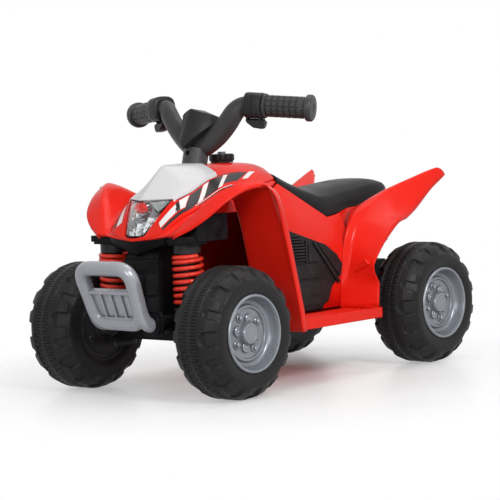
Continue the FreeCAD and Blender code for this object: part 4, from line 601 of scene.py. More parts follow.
# tank cover: nose ring round the headlight, side panels down to the valley, top
tankShape = {
    "rim": [(0, -267, 233.5), (11, -265.3, 234), (20, -261.5, 236.5), (28, -248.5, 255), (36, -235, 273),
            (43, -222, 287.5), (46, -214, 290.5)],
    "skirt": [(0, -268, 229), (22, -265, 231), (42, -262.5, 233.5), (60, -259, 236.5), (66, -242, 245),
              (71, -228, 252), (76, -214, 258)],
    "edge": [(46, -214, 290.5), (48.5, -190, 299), (50, -170, 308.5), (50, -150, 317), (50, -130, 320.5),
             (50, -112, 322), (50, -84, 324), (48, -52, 323), (44, -20, 321), (40, -0.4, 318)],
    "valley": [(76, -214, 258), (78, -190, 267), (79.5, -170, 275.5), (81, -150, 284.5), (82, -132, 290),
               (81, -112, 292), (80, -84, 291), (72, -52, 294), (62, -20, 298), (55, -0.4, 303)],
    "foot": [(70, -214, 250), (73, -190, 256), (74, -170, 260), (75, -150, 262), (76, -130, 262),
             (75.5, -112, 262), (73.6, -84, 262.5), (69, -52, 275), (60, -20, 292), (55, -0.4, 301)],
    "ridge": [(3, -214, 304), (5, -190, 320), (15, -170, 328), (24, -150, 333), (26, -130, 334.8),
              (26, -112, 335), (26, -84, 335), (25.5, -52, 335), (24, -20, 333), (22, -0.4, 327)],
    # the belt line: share of the way down, push out and up, push along
    "belt": [(0.3, 1.4, -0.4), (0.72, 1.3, -0.4), (0.78, -0.6, 0)], "beltFrom": 26,
    "crown": (0.6, 0, 1.4), "creases": {0: 0.7, 2: 0.75, 3: 0.6, 4: 0.8}, "ridgeCrease": 0.15,
    "thickness": 2.6, "columnHole": 19.2, "sharp": 42,
}


def acrossSide(shape, top, low):
    # from the edge down to the valley, with a small step under the belt line
    push = min(1, top[0] / shape["beltFrom"])
    steps = [bulged(top, low, share, (out * push, along * push, out * push))
             for share, out, along in shape["belt"]]
    return [top] + steps + [low]


def buildTank(shape):
    ringColumns = [acrossSide(shape, top, low) for top, low in zip(shape["rim"], shape["skirt"])]
    sideRows = [acrossSide(shape, top, low) + [foot]
                for top, low, foot in zip(shape["edge"], shape["valley"], shape["foot"])]
    topRows = [[(0, ridge[1], ridge[2] + 0.4), ridge, bulged(ridge, edge, 0.5, shape["crown"]), edge]
               for ridge, edge in zip(shape["ridge"], shape["edge"])]
    columns = ringColumns + sideRows[1:]
    creased = [([column[index] for column in columns], value) for index, value in shape["creases"].items()]
    creased.append((shape["ridge"], shape["ridgeCrease"]))
    patches = []
    lines = []
    for sign in (1, -1):
        patches += [(mirrored(ringColumns, sign), (0, -1, 0.3)), (mirrored(sideRows, sign), (sign, 0, 0.6)),
                    (mirrored(topRows, sign), (0, 0, 1))]
        lines += [(mirrored([line], sign)[0], value) for line, value in creased]
    piece = patchPiece("tank_cover_skin", patches, "redGloss", lines)
    addThickness(piece, shape["thickness"])
    addSmooth(piece)
    carve(piece, columnPart(shape["columnHole"], -20, 20), shape["sharp"])
    return settle(piece, "chassis", "red_plastic", "tank_cover")


tankSkin = buildTank(tankShape)

cowlShape = {
    "rows": [
        [(0, -248, 288.4), (3, -247.5, 288.4), (22, -236, 288.6), (43.5, -222.5, 289)],
        [(0, -231, 304), (3, -230.5, 303.2), (24, -222, 297.4), (46, -213, 292.4)],
        [(0, -214, 321), (4, -213.5, 319.6), (26, -207, 306.6), (48, -202, 296.6)],
        [(0, -195, 337), (6, -194, 335.4), (28, -190, 318.2), (49.6, -188, 302.6)],
        [(0, -172, 338), (15, -171, 336.6), (33, -170, 323.4), (50.8, -168, 311)],
        [(0, -152, 338.2), (24, -152, 336.8), (37, -151, 328.4), (51, -150, 319)],
        [(0, -135.6, 338.4), (25, -135.6, 337), (38, -135.4, 331), (51.5, -135.2, 323.2)],
    ],
    "skirt": (3.2, -0.4, -5.6), "thickness": 2.4, "columnHole": 19.4, "sharp": 38,
    "columnCreases": {4: 0.55, 3: 0.25, 5: 0.25, 1: 0.7, 7: 0.7}, "rowCreases": {3: 0.35, 0: 0.8, 6: 0.8},
}


def buildCowl(shape):
    # a narrow skirt laps over the tank's edge
    rows = wholeRows([row + [shifted(row[-1], shape["skirt"])] for row in shape["rows"]])
    piece = gridPiece("nose_cowl_skin", rows, "whiteGloss", (0, -0.3, 1), shape)
    addSmooth(piece)
    carve(piece, columnPart(shape["columnHole"], -20, 20), shape["sharp"])
    settle(piece, "chassis", "white_plastic", "nose_cowl")


buildCowl(cowlShape)

lensShape = {
    "half": [
        [(0, -267, 235.2), (10, -265, 236), (18.5, -261.5, 238)],
        [(0, -264, 246), (13, -260, 247.5), (23.5, -253.5, 249.5)],
        [(0, -259, 262), (16, -252.5, 262.5), (29.5, -243.5, 263)],
        [(0, -254, 275), (19.5, -245, 275.8), (35.5, -233.5, 276.5)],
        [(0, -249.5, 285.8), (23, -237, 286.6), (41.8, -223, 287.5)],
    ],
    "thickness": 2.2, "columnCreases": {2: 0.6}, "rowCreases": {},
}


def buildLens(shape):
    piece = gridPiece("headlight_lens_skin", wholeRows(shape["half"]), "lensClear", (0, -1, 0.3), shape)
    addSmooth(piece)
    settle(piece, "chassis", "clear_lens", "headlight_lens")


buildLens(lensShape)

lampShape = {
    # cut mirror cells behind the lens, alternate cells in a darker chrome as painted shade in their
    # reflections, a red dome over them and a grey shade in each top corner
    "depth": 8.0, "cut": 5.0, "scale": 0.9,
    "dome": (0, -243.6, 275.5), "domeSize": (13, 6.4, 8.4), "domeSides": 32,
    "shade": [(12, -238.6, 284.6), (38.6, -221.2, 285.8), (27, -238.2, 270.6)], "shadeDepth": 1.2,
}


def buildLamp(shape, lens):
    rows = [[(x * shape["scale"], y + shape["depth"], z) for x, y, z in row]
            for row in wholeRows(lens["half"])]
    fine = [rows[0]]
    for first, second in zip(rows, rows[1:]):
        fine += [[lerp(a, b, 0.5) for a, b in zip(first, second)], second]
    cells = {"chromeFoil": ([], []), "chromePaintedShade": ([], [])}
    for i in range(len(fine) - 1):
        for j in range(len(fine[0]) - 1):
            corners = [fine[i][j], fine[i][j + 1], fine[i + 1][j + 1], fine[i + 1][j]]
            # alternate cells get the darker chrome: painted shade in their reflections
            points, faces = cells["chromePaintedShade" if (i * 3 + j * 2) % 5 in (1, 3) else "chromeFoil"]
            start = len(points)
            middle = [sum(corner[axis] for corner in corners) / 4 for axis in range(3)]
            points += corners + [(middle[0] * 1.05, middle[1] + shape["cut"], middle[2] + 2)]
            faces += [(start + k, start + (k + 1) % 4, start + 4) for k in range(4)]
    for finish, (points, faces) in cells.items():
        piece = newPiece("headlight_cells_" + finish, points, faceOut(points, faces, (0, -1, 0)), finish)
        sharpen(piece, 5)
        nodes = ["headlight_reflector"] if finish == "chromeFoil" else []
        settle(piece, "chassis", "reflector_chrome", *nodes)
    rings = []
    (x, y, z), (wide, deep, tall) = shape["dome"], shape["domeSize"]
    for step in range(7):
        angle = math.pi / 2 * step / 6.4  # stops short of the pole
        ring = ovalRing(wide * math.cos(angle), tall * math.cos(angle), shape["domeSides"])
        rings.append([(x + across, y - deep * math.sin(angle), z + up) for across, up in ring])
    settle(closedPiece("headlight_dome", [loftPart(rings)], "redGloss", 50), "chassis", "red_plastic")
    for sign, label in bothSides:
        outline = mirrored([shape["shade"]], sign)[0]
        plate = loftPart([outline, [shifted(point, (0, shape["shadeDepth"], 0)) for point in outline]])
        piece = closedPiece("headlight_shade_" + label, [plate], "lampGrey", 30)
        settle(piece, "chassis", "reflector_chrome")


buildLamp(lampShape, lensShape)

stripeShape = {
    # finish, start and end along the band, upper and lower share of the side, slant
    "bars": [("decalBlack", 0.0, 3.6, 0.52, 0.64, 0.1), ("decalWhite", 0.1, 1.9, 0.2, 0.46, 0.15),
             ("decalBlack", 2.0, 2.6, 0.17, 0.48, 0.5), ("decalWhite", 2.7, 3.7, 0.15, 0.48, 0.8),
             ("decalBlack", 3.8, 5.0, 0.15, 0.6, 1.2), ("decalWhite", 5.1, 5.7, 0.15, 0.6, 1.3),
             ("decalBlack", 5.8, 7.4, 0.14, 0.6, 1.5), ("decalWhite", 7.5, 8.0, 0.13, 0.56, 1.5),
             ("decalBlack", 8.1, 9.7, 0.12, 0.5, 1.4), ("decalWhite", 9.8, 10.3, 0.11, 0.44, 1.0),
             ("decalBlack", 2.4, 9.2, 0.07, 0.105, 0.03), ("decalWhite", 3.6, 7.6, 0.625, 0.645, 0.03),
             ("decalBlack", 3.7, 7.6, 0.66, 0.695, 0.03)],
    "slots": {"decalBlack": "black_plastic", "decalWhite": "white_plastic"},
    "rise": 0.3, "cells": 18, "rows": 4, "seek": (3, -1, 4),
}


def buildStripes(shape, tank):
    tops = tank["rim"][3:6] + tank["edge"]
    lows = tank["skirt"][3:6] + tank["valley"]
    bpy.context.view_layer.update()
    skin = BVHTree.FromObject(tankSkin, bpy.context.evaluated_depsgraph_get())

    def onSkin(sign, s, t):
        # the spot just over the tank's skin, s along the side and t down it
        index = min(int(s), len(tops) - 2)
        upper, lower = (lerp(line[index], line[index + 1], s - index) for line in (tops, lows))
        x, y, z = bulged(upper, lower, t, shape["seek"])
        spot, normal = skin.find_nearest(Vector((sign * x, y, z)) * mm)[:2]
        if normal.x * sign + normal.z < 0:
            normal = -normal
        return tuple(spot / mm + normal * shape["rise"])

    patches = {finish: [] for finish in shape["slots"]}
    for sign in (1, -1):
        for finish, start, end, upper, lower, slant in shape["bars"]:
            rows = []
            for row in range(shape["rows"] + 1):
                down = row / shape["rows"]
                places = [start + (end - start) * cell / shape["cells"] for cell in range(shape["cells"] + 1)]
                rows.append([onSkin(sign, max(0, place - slant * down), upper + (lower - upper) * down)
                             for place in places])
            patches[finish].append((rows, (sign, 0, 0.6)))
    for finish, slotName in shape["slots"].items():
        settle(patchPiece("tank_stripes_" + finish, patches[finish], finish), "chassis", slotName)


buildStripes(stripeShape, tankShape)
print("nose made")

frontFender = {
    # valley, crest and lip of each station, from the tip over the wheel and down the leg shield
    "stations": [
        ((60, -258.5, 236.5), (74, -260.5, 237.5), (76, -260.5, 236)),
        ((64, -248, 243), (85, -248, 251), (104, -250, 249)),
        ((69, -236, 249), (95, -235, 266), (127, -236, 266)),
        ((76, -214, 258), (112, -214, 291), (139, -212, 286)),
        ((78, -195, 266), (127, -195, 302.5), (146, -194, 296)),
        ((79, -178, 272), (140, -178, 309.5), (152, -177, 303)),
        ((81, -158, 281.5), (151, -158, 312.4), (161, -158, 306)),
        ((82, -142, 288), (157, -146, 309.6), (168, -146, 301.6)),
        ((83, -134, 283), (158.6, -137, 299.6), (169.6, -138.6, 291)),
        ((84, -126.6, 262), (159, -129, 275), (169.6, -131, 268)),
        ((85, -119, 237), (159, -121, 237), (169.6, -122, 237)),
        ((85, -105, 176), (159, -106, 176), (169.6, -107, 176)),
        ((85, -91, 115), (159, -91.5, 115), (169.6, -92, 115)),
        ((85, -87, 84), (159, -87.2, 84), (169.6, -88, 84)),
    ],
    "turnFrom": 6, "turnOver": 3,  # stations over which the top bends into the leg shield
    "arch": 4.0, "archOver": 3, "sag": 0.5, "lipBulge": (0.8, 0, 0.8),
    "foldIn": 1.0, "foldDown": 4.5, "foldBack": 9,  # folded edge under the lip, on top and on the shield
    "thickness": 3, "rowCreases": {13: 1.0, 0: 0.6},
    "columnCreases": {5: [0.7] * 5 + [0.3] * 5 + [0.7] * 3, 3: [0.8, 0.75, 0.65, 0.5, 0.4, 0.3] + [0.15] * 7},
}


def buildFrontFender(shape, sign, label):
    rows = []
    for index, (valley, crest, lip) in enumerate(shape["stations"]):
        turn = min(1, max(0, (index - shape["turnFrom"]) / shape["turnOver"]))
        fold = shifted(lip, (-shape["foldIn"], shape["foldBack"] * turn, -shape["foldDown"] * (1 - turn)))
        arch = shape["arch"] * min(1, index / shape["archOver"]) * (1 - turn) - shape["sag"]
        rows.append([valley, bulged(valley, crest, 0.2, (0, 0, -arch)),
                     bulged(valley, crest, 0.62, (0, 0, arch)), crest,
                     bulged(crest, lip, 0.55, shape["lipBulge"]), lip, fold])
    piece = gridPiece("front_fender_skin_" + label, mirrored(rows, sign), "redGloss", (0, 1, 0.8), shape)
    addSmooth(piece)
    settle(piece, "chassis", "red_plastic", "front_fender_" + label)


for sideSign, sideName in bothSides:
    buildFrontFender(frontFender, sideSign, sideName)
print("front fenders made")

sideBody = {
    # along y: roof half width and height, shoulder height
    "stations": [(-84, 73.6, 262, 236), (-40, 64, 281, 231), (0, 56, 299.6, 226), (25, 59, 286, 218),
                 (50, 61.6, 272, 210), (76, 67, 256, 201), (100, 71.8, 241.5, 192), (120, 69.5, 243.5, 191),
                 (138, 67, 246, 190)],
    "half": 92, "middle": 101, "foot": 101.3, "thickness": 2.5,
    # tail under the seat: along y, half width, top and foot height
    "tail": [(138, 67, 246, 163.4), (163, 63.2, 252, 168), (202, 62, 254, 176), (247, 62, 270, 186),
             (285, 49.6, 278, 192)],
}


def buildSideBody(shape):
    half = shape["half"]
    rows = []
    for y, roofHalf, roofZ, shoulder in shape["stations"]:
        roof, side = (roofHalf, y, roofZ), (half, y, shoulder)
        rows.append([(roofHalf - 6, y, roofZ - 1), roof, lerp(roof, side, 0.5), side,
                     (half, y, (shoulder + shape["middle"]) / 2), (half, y, shape["foot"])])
    tail = [[(wide, y, top), (wide, y, low)] for y, wide, top, low in shape["tail"]]
    patches = []
    lines = []
    for sign in (1, -1):
        side = mirrored(rows, sign)
        patches += [(side, (sign, 0, 0.4)), (mirrored(tail, sign), (sign, 0, 0))]
        lines += [([row[1] for row in side], 0.7), ([row[3] for row in side], 0.3)]
        lines += [(side[0], 1.0), (side[-1], 1.0)]
    farTail = mirrored(tail, -1)
    patches.append((mirrored(rows[-1:], -1) + rows[-1:], (0, 1, 0)))
    patches.append(([[far[0], near[0]] for far, near in zip(farTail, tail)], (0, 0, 1)))
    patches.append((list(zip(farTail[-1], tail[-1])), (0, 1, 0)))
    piece = patchPiece("side_body_skin", patches, "redGloss", lines)
    sharpen(piece, 30)
    addThickness(piece, shape["thickness"])
    settle(piece, "chassis", "red_plastic", "side_body")


buildSideBody(sideBody)

seatShape = {
    # along y: half width, edge height, crown height
    "stations": [(0.4, 56, 300.4, 319.5), (25, 58.5, 286.4, 309), (50, 61.6, 272.4, 300),
                 (76, 67, 256.4, 292.5), (100, 71.8, 241.6, 288), (119, 69.5, 244, 287.2),
                 (138, 67, 246.4, 287.6), (163, 63.2, 252.4, 290.2), (202, 62, 254.4, 294),
                 (232, 62, 264, 296), (258, 60, 272, 296), (274, 56, 276, 294.4), (281.4, 52, 277.6, 291),
                 (284.6, 49.6, 278.4, 284)],
    # section from the middle outwards: share of the half width, share of the rise
    "section": [(0, 1), (0.3, 0.99), (0.62, 0.9), (0.86, 0.66), (0.955, 0.42), (1, 0)],
    "thickness": 3, "columnCreases": {2: 0.55, 8: 0.55}, "rowCreases": {0: 0.8, 13: 0.7},
}


def buildSeat(shape):
    rows = [[(half * wide, y, edge + (crown - edge) * tall) for wide, tall in shape["section"]]
            for y, half, edge, crown in shape["stations"]]
    piece = gridPiece("seat_skin", wholeRows(rows), "seatBlack", (0, 0, 1), shape)
    addSmooth(piece)
    settle(piece, "chassis", "black_seat", "seat")


buildSeat(seatShape)

rearFender = {
    # inner edge, crease on the body, crest and outer edge of each station, from the footrest up to the tip
    "stations": [
        ((91, 100, 98), (93, 98.7, 98), (100, 101.5, 98), (151.5, 121.5, 98)),
        ((91, 102, 136), (93, 100.8, 136), (100, 104, 136), (151.5, 125.5, 137)),
        ((91, 104.5, 151), (93, 103.1, 151), (100, 110.6, 149), (150.5, 115.5, 153)),
        ((91, 108, 169.6), (93, 106.9, 169.6), (100, 117.3, 169), (150.2, 114.5, 166)),
        ((91, 112, 193.2), (93, 111.1, 193.2), (100, 122.8, 192.5), (149.6, 138, 202)),
        ((91, 119, 216.7), (93, 117.9, 216.7), (100, 131, 216), (147.7, 182, 233)),
        ((86, 134, 234), (93, 132.7, 233.4), (100, 149, 237), (145, 199, 236)),
        ((74, 157, 253), (91, 156.4, 255.5), (100, 174, 258.7), (142, 212, 237.4)),
        ((64.5, 202, 257), (88, 203, 272), (102, 202, 277), (136, 246, 250)),
        ((76, 251, 278.5), (100, 256, 288), (117, 262, 294.5), (136.5, 288, 281)),
        ((104, 290, 295), (116, 293, 300.5), (125, 296, 305), (138, 312, 294)),
        ((122, 309.6, 304.6), (126.5, 311.5, 307.6), (130.6, 313.6, 309), (138, 326, 301.6)),
    ],
    # arch of the outer half and fold below the outer edge, over the wheel and in front of it
    "archFrom": 5, "arch": 2.4, "foldFrom": 4, "foldOver": (0.3, 4, -6), "foldFront": (0.3, 0.4, 0),
    # a small raised facet over the fold: its top, left and right corner, and its back
    "facet": [(131.5, 114.8, 176), (113.5, 110.2, 154), (142, 110.2, 167.6)], "facetBack": 118.2,
    "thickness": 3, "columnCreases": {1: 0.8, 2: 0.72, 5: 0.8},
    "rowCreases": {0: 1.0, 1: 0.5, 2: 0.75, 3: 0.4, 11: 0.5},
}


def buildRearFender(shape, sign, label):
    rows = []
    for index, (inner, crease, crest, outer) in enumerate(shape["stations"]):
        lift = (0, 0, shape["arch"] if index >= shape["archFrom"] else 0.0)
        fold = shape["foldOver" if index >= shape["foldFrom"] else "foldFront"]
        rows.append([inner, crease, crest, bulged(crest, outer, 0.33, lift), bulged(crest, outer, 0.68, lift),
                     outer, shifted(outer, fold)])
    facing = (0.2 * sign, -0.6, 1)
    piece = gridPiece("rear_fender_skin_" + label, mirrored(rows, sign), "redGloss", facing, shape)
    addSmooth(piece)
    settle(piece, "chassis", "red_plastic", "rear_fender_" + label)
    front = mirrored([shape["facet"]], sign)[0]
    wedge = loftPart([front, [(x, shape["facetBack"], z) for x, y, z in front]])
    facet = closedPiece("rear_fender_facet_" + label, [wedge], "redGloss", 25, (0.6, 2, 25))
    settle(facet, "chassis", "red_plastic")


for sideSign, sideName in bothSides:
    buildRearFender(rearFender, sideSign, sideName)
print("body made")

tyreShape = {
    # half profile (across, radius) from the bead over the shoulder to the tread
    "profile": [(40, 57), (41.5, 60), (42.7, 66), (42.8, 74.5), (41.3, 79.2), (39.5, 82.6), (39.2, 84.3),
                (38, 85.5), (33, 90), (28, 93.3), (20, 95.4), (16.8, 96), (0, 96.4)],
    "radius": 96.5, "periods": 64, "perPeriod": 6, "treadHalf": 18.3,
    "seam": 16.4, "seamHalf": 0.6, "seamRise": 0.3, "grooveHalf": 1.8, "grooveDepth": 0.9,
    "sipeAt": 8.2, "sipeSwing": 4.4, "sipeHalf": 0.7, "sipeDepth": 1.3, "lugs": 8,
    "large": {"half": 11.5, "inner": 18.6, "depth": 4.0}, "small": {"half": 7.0, "inner": 22.5, "depth": 3.0},
    "lineSpacing": {"tread": 0.95, "shoulder": 1.5, "wall": 4.0}, "bead": [(40, 57), (38.5, 55), (30, 54)],
}


def smoothStep(low, high, value):
    share = min(1, max(0, (value - low) / (high - low)))
    return share * share * (3 - 2 * share)


def lugFloor(depth, x):
    # radius of a scallop's floor, following the shoulder down to the sidewall
    line = [(14, 96.5 - depth), (28, 93.3 - depth), (38 - 0.55 * depth, 85.5 - 0.8 * depth), (41.5, 77.8),
            (46, 70)]
    for (x0, r0), (x1, r1) in zip(line, line[1:]):
        if x <= x1:
            return r0 + (r1 - r0) * (x - x0) / (x1 - x0)
    return line[-1][1]


def lugDrop(lug, x, r, around):
    # how far a scallop with a round inner end lowers the surface here
    middle = lug["inner"] + lug["half"]
    reach = abs(around) if x > middle else math.hypot(x - middle, around)
    edge = 1 - smoothStep(lug["half"] - 0.8, lug["half"] + 0.5, reach)
    return edge * max(0.0, r - lugFloor(lug["depth"], x)) if edge else 0.0


def tyreLines(shape):
    # lateral lines, finer on the tread and over the shoulder
    half = []
    for (x0, r0), (x1, r1) in zip(shape["profile"], shape["profile"][1:]):
        zone = "tread" if x1 < 16.9 else "shoulder" if r0 > 74 else "wall"
        pieces = max(1, round(math.hypot(x1 - x0, r1 - r0) / shape["lineSpacing"][zone]))
        half += [lerp((x0, r0), (x1, r1), i / pieces) for i in range(pieces)]
    half.append(shape["profile"][-1])
    return half + [(-x, r) for x, r in half[-2::-1]]


def treadDrop(shape, x, step):
    # square-wave sipes between the two seams, each seam a ridge in a groove
    across = abs(x)
    if abs(across - shape["seam"]) < shape["seamHalf"]:
        return -shape["seamRise"]
    if abs(across - shape["seam"]) < shape["grooveHalf"]:
        return shape["grooveDepth"]
    beat = step % shape["perPeriod"]
    swing = shape["sipeSwing"] if beat < shape["perPeriod"] / 2 else -shape["sipeSwing"]
    if abs(across - shape["sipeAt"] - swing) < shape["sipeHalf"]:
        return shape["sipeDepth"]
    if beat in (0, shape["perPeriod"] // 2) and abs(across - shape["sipeAt"]) < shape["sipeSwing"]:
        return shape["sipeDepth"]
    return 0.0


def tyrePart(shape):
    steps = shape["periods"] * shape["perPeriod"]
    pitch = 2 * math.pi / shape["lugs"]

    def trim(x, r, step):
        if abs(x) < shape["treadHalf"]:
            return min(r - treadDrop(shape, x, step), shape["radius"])
        turn = shape["lugs"] * step / steps - (0.0 if x >= 0 else 0.25)  # the far side lags a quarter
        drops = []
        for lug, part in ((shape["large"], turn), (shape["small"], turn + 0.5)):
            drops.append(lugDrop(lug, abs(x), r, r * math.sin((part - round(part)) * pitch)))
        return min(r - max(drops), shape["radius"])

    return lathe(tyreLines(shape), steps, trim)


webShape = {
    # inner face of the wheel (across, radius), with its ring groove and hub
    "profile": [(-40, 57), (-38.6, 55.5), (-38, 53), (-37.8, 49.2), (-35.8, 48.6), (-35.8, 43.4),
                (-37.8, 42.8), (-38, 20), (-39.4, 18.6), (-40, 16), (-40, 6)],
    # a boss: start, end, radius, sides, height of its dome, radius of its hole
    "boss": (-36.5, -39.2, 5, 20, 0, 2.4), "bossCircle": 34, "bossAngles": (90, 210, 330),
}


def bossPart(x0, x1, radius, sides, dome=0.0, hole=0.0):
    profile = [(x0, radius + 0.6), (x1 - 0.6 * math.copysign(1, x1 - x0), radius), (x1, radius - 0.7)]
    if hole:
        profile += [(x1, hole), (x0, hole * 0.9)]
    else:
        profile += [(x1 + dome * 0.6, radius * 0.6), (x1 + dome, 0.01)]
    return lathe(profile, sides)


rimShape = {
    "profile": [(40.6, 56.9), (42.2, 56.4), (43.2, 55.4), (43.4, 54.2), (42.9, 53), (41, 52.2), (36, 51),
                (29, 48.8), (26.4, 47.2), (25.4, 45.4), (25.2, 42.4), (26.2, 41.2), (28, 40.6), (28.8, 39.6),
                (29, 38.4), (28.6, 37.2), (27.4, 36.5), (25.8, 35.9), (25.4, 34.5), (25.2, 20.5),
                (25.6, 18.6), (27, 17.4), (30, 16.4), (33.2, 15.6), (34.6, 14.6), (35.2, 13), (35.4, 11.2),
                (34.9, 10.4), (35.0, 4), (35.1, 0.01)],
    # bolts and lobes in turn round the hub: circle, bosses, and the arm that ties a lobe to the hub
    "bolt": {"circle": 27, "bosses": [(25.0, 27.4, 6.0, 24), (26.0, 31.0, 3.6, 6, 0.6)], "arms": []},
    "lobe": {"circle": 20.4, "bosses": [(25.0, 28.6, 7.4, 24), (28.0, 29.4, 2.4, 16)],
             "arms": [((24.6, -12, -6.3), (27.9, 0.5, 6.3))]},
    "pairs": 4, "phase": {"front": 33, "rear": 18},
}
wheelPlaces = {"left": 149, "right": -149, "front": -220.5, "rear": 242.5, "height": 96.5, "sides": 96}


def aroundHub(circle, degrees):
    # a spot on a circle round the hub, and the turn that leads there
    turn = Matrix.Rotation(math.radians(degrees), 4, "X")
    return Matrix.Translation(turn @ Vector((0, circle, 0))), turn


def rimParts(shape, end):
    parts = [lathe(shape["profile"], wheelPlaces["sides"])]
    for index in range(2 * shape["pairs"]):
        form = shape["lobe" if index % 2 else "bolt"]
        spot, turn = aroundHub(form["circle"], shape["phase"][end] + 180 / shape["pairs"] * index)
        parts += [moved(bossPart(*boss), spot) for boss in form["bosses"]]
        parts += [moved(boxPart(*arm), spot @ turn) for arm in form["arms"]]
    return parts


def tyreParts(shape, web):
    parts = [tyrePart(shape), lathe(web["profile"], wheelPlaces["sides"])]
    for degrees in web["bossAngles"]:
        parts.append(moved(bossPart(*web["boss"]), aroundHub(web["bossCircle"], degrees)[0]))
    return parts + [lathe(shape["bead"], wheelPlaces["sides"])]


def buildWheel(end, side):
    # the right-hand wheels are the left ones turned about z
    place = Matrix.Translation((wheelPlaces[side], wheelPlaces[end], wheelPlaces["height"]))
    if side == "right":
        place = place @ Matrix.Rotation(math.pi, 4, "Z")
    corner = "%s_%s" % (end, side)
    for kind, parts, finish, sharp, slotName in (
            ("tyre_", tyreParts(tyreShape, webShape), "tyreBlack", 32, "tyre_black"),
            ("rim_", rimParts(rimShape, end), "silverGrey", 30, "grey_plastic")):
        piece = closedPiece(kind + corner + "_skin", [moved(part, place) for part in parts], finish, sharp)
        settle(piece, "wheel_" + corner, slotName, kind + corner)


for wheelEnd in ("front", "rear"):
    for wheelSide in ("left", "right"):
        buildWheel(wheelEnd, wheelSide)
print("wheels made")

bumperShape = {
    "corners": [(52, -327.5, 194), (-52, -327.5, 194), (-44, -297, 112), (44, -297, 112)],
    "bend": 24, "radius": 11, "spacing": 8, "armRadius": 10.8, "sides": 24,
    "arm": [(48.5, -311, 150), (46.7, -303.4, 129), (46.9, -295, 115.4), (46.7, -284, 109.4),
            (46.3, -270, 108), (46.3, -256.5, 108)],
    # slabs of the ribbed plate: low and high corner (across, outwards, up the loop), flare of the top
    "plate": [((-41, -3.4, -2), (41, 2.2, 52), 4), ((-43, -3.4, 48), (43, 6.4, 54.5), 1),
              ((-22.2, 1.8, 10), (-17.8, 5.6, 50), 0.4), ((-2.2, 1.8, 10), (2.2, 5.6, 50), 0.4),
              ((17.8, 1.8, 10), (22.2, 5.6, 50), 0.4), ((-40, 1.8, 4), (40, 6.0, 12), 0.8)],
}


def roundedLoop(corners, radius, steps):
    out = []
    for index, corner in enumerate(corners):
        here = Vector(corner)
        before = (Vector(corners[index - 1]) - here).normalized()
        after = (Vector(corners[(index + 1) % len(corners)]) - here).normalized()
        reach = radius / math.tan(before.angle(after) / 2)
        start, end = here + before * reach, here + after * reach
        for step in range(steps + 1):
            t = step / steps
            out.append(start * (1 - t) ** 2 + here * (2 * t * (1 - t)) + end * t ** 2)
    return out


def resample(loop, spacing):
    out = []
    for a, b in zip(loop, loop[1:] + loop[:1]):
        pieces = max(1, round((b - a).length / spacing))
        out += [a.lerp(b, i / pieces) for i in range(pieces)]
    return out


def buildBumper(shape):
    loop = resample(roundedLoop(shape["corners"], shape["bend"], 10), shape["spacing"])
    ring = ovalRing(shape["radius"], shape["radius"], shape["sides"])
    parts = [sweepPart(loop, [ring] * len(loop), True)]
    low, high = (Vector((0,) + shape["corners"][index][1:]) for index in (2, 0))
    across = Vector((1, 0, 0))
    up = (high - low).normalized()
    place = Matrix.Translation(low) @ Matrix((across, across.cross(up), up)).transposed().to_4x4()
    for first, last, flare in shape["plate"]:
        corners, faces = boxPart(first, last)
        flared = [(x + math.copysign(flare if z == last[2] else 0, x), y, z) for x, y, z in corners]
        parts.append(moved((flared, faces), place))
    ring = ovalRing(shape["armRadius"], shape["armRadius"], shape["sides"])
    for arm in mirrored([shape["arm"]], 1) + mirrored([shape["arm"]], -1):
        path = smoothPath(arm, 6)
        parts.append(sweepPart(path, [ring] * len(path)))
    piece = closedPiece("bumper_skin", parts, "bumperGrey", 35, (1.2, 2, 50))
    settle(piece, "chassis", "grey_plastic", "bumper")


buildBumper(bumperShape)

barShape = {
    # centre line, then half depth and half height of the section
    "half": [((0, -117, 359), 13, 15), ((16, -115, 363), 13, 15.6), ((37, -110.5, 378), 13.4, 16),
             ((54, -107.5, 395.4), 13.4, 16), ((65.5, -105, 410), 13.2, 15.4), ((74, -100.8, 418.4), 13, 14),
             ((84, -96.4, 421.6), 13, 13), ((100, -90, 420.2), 13, 13), ((140, -74.1, 416.5), 13, 13),
             ((180, -58.2, 412.7), 13, 13)],
    "sides": 28, "steps": 5,
    # sleeve round the column, and the hole in its front
    "sleeve": {"radius": 19.2, "low": -38, "high": 22, "sides": 40},
    "hole": [(10, 0.01), (10, 4), (24, 4), (24, 0.01)], "holeHeight": 13, "holeSides": 24, "sharp": 38,
}


def buildHandlebar(shape):
    steps = shape["steps"]
    halfPath = smoothPath([row[0] for row in shape["half"]], steps)
    sizes = []
    for first, second in zip(shape["half"], shape["half"][1:]):
        sizes += [lerp(first[1:], second[1:], step / steps) for step in range(steps)]
    sizes.append(shape["half"][-1][1:])
    path = [Vector((-spot.x, spot.y, spot.z)) for spot in halfPath[:0:-1]] + halfPath
    rings = [ovalRing(deep, tall, shape["sides"]) for deep, tall in sizes[:0:-1] + sizes]
    parts = [sweepPart(path, rings), columnPart(**shape["sleeve"])]
    piece = closedPiece("handlebar_skin", parts, "barBlack", 40)
    height = shape["holeHeight"] / math.cos(columnShape["tilt"])
    forwards = Matrix.Translation((0, 0, height)) @ Matrix.Rotation(-math.pi / 2, 4, "Z")
    carve(piece, moved(lathe(shape["hole"], shape["holeSides"]), columnPlace @ forwards), shape["sharp"])
    settle(piece, "steering", "black_plastic", "handlebar")


buildHandlebar(barShape)

barEnd = {"from": (70, -102, 423), "to": (178, -59, 412.9)}


def barPlace(spot, sign):
    # local x along the bar's straight end, local z near the vertical
    heading = (Vector(barEnd["to"]) - Vector(barEnd["from"])).normalized()
    heading.x *= sign
    side = Vector((0, 0, 1)).cross(heading).normalized()
    turn = Matrix((heading, side, heading.cross(side))).transposed().to_4x4()
    return Matrix.Translation((sign * spot[0], spot[1], spot[2])) @ turn


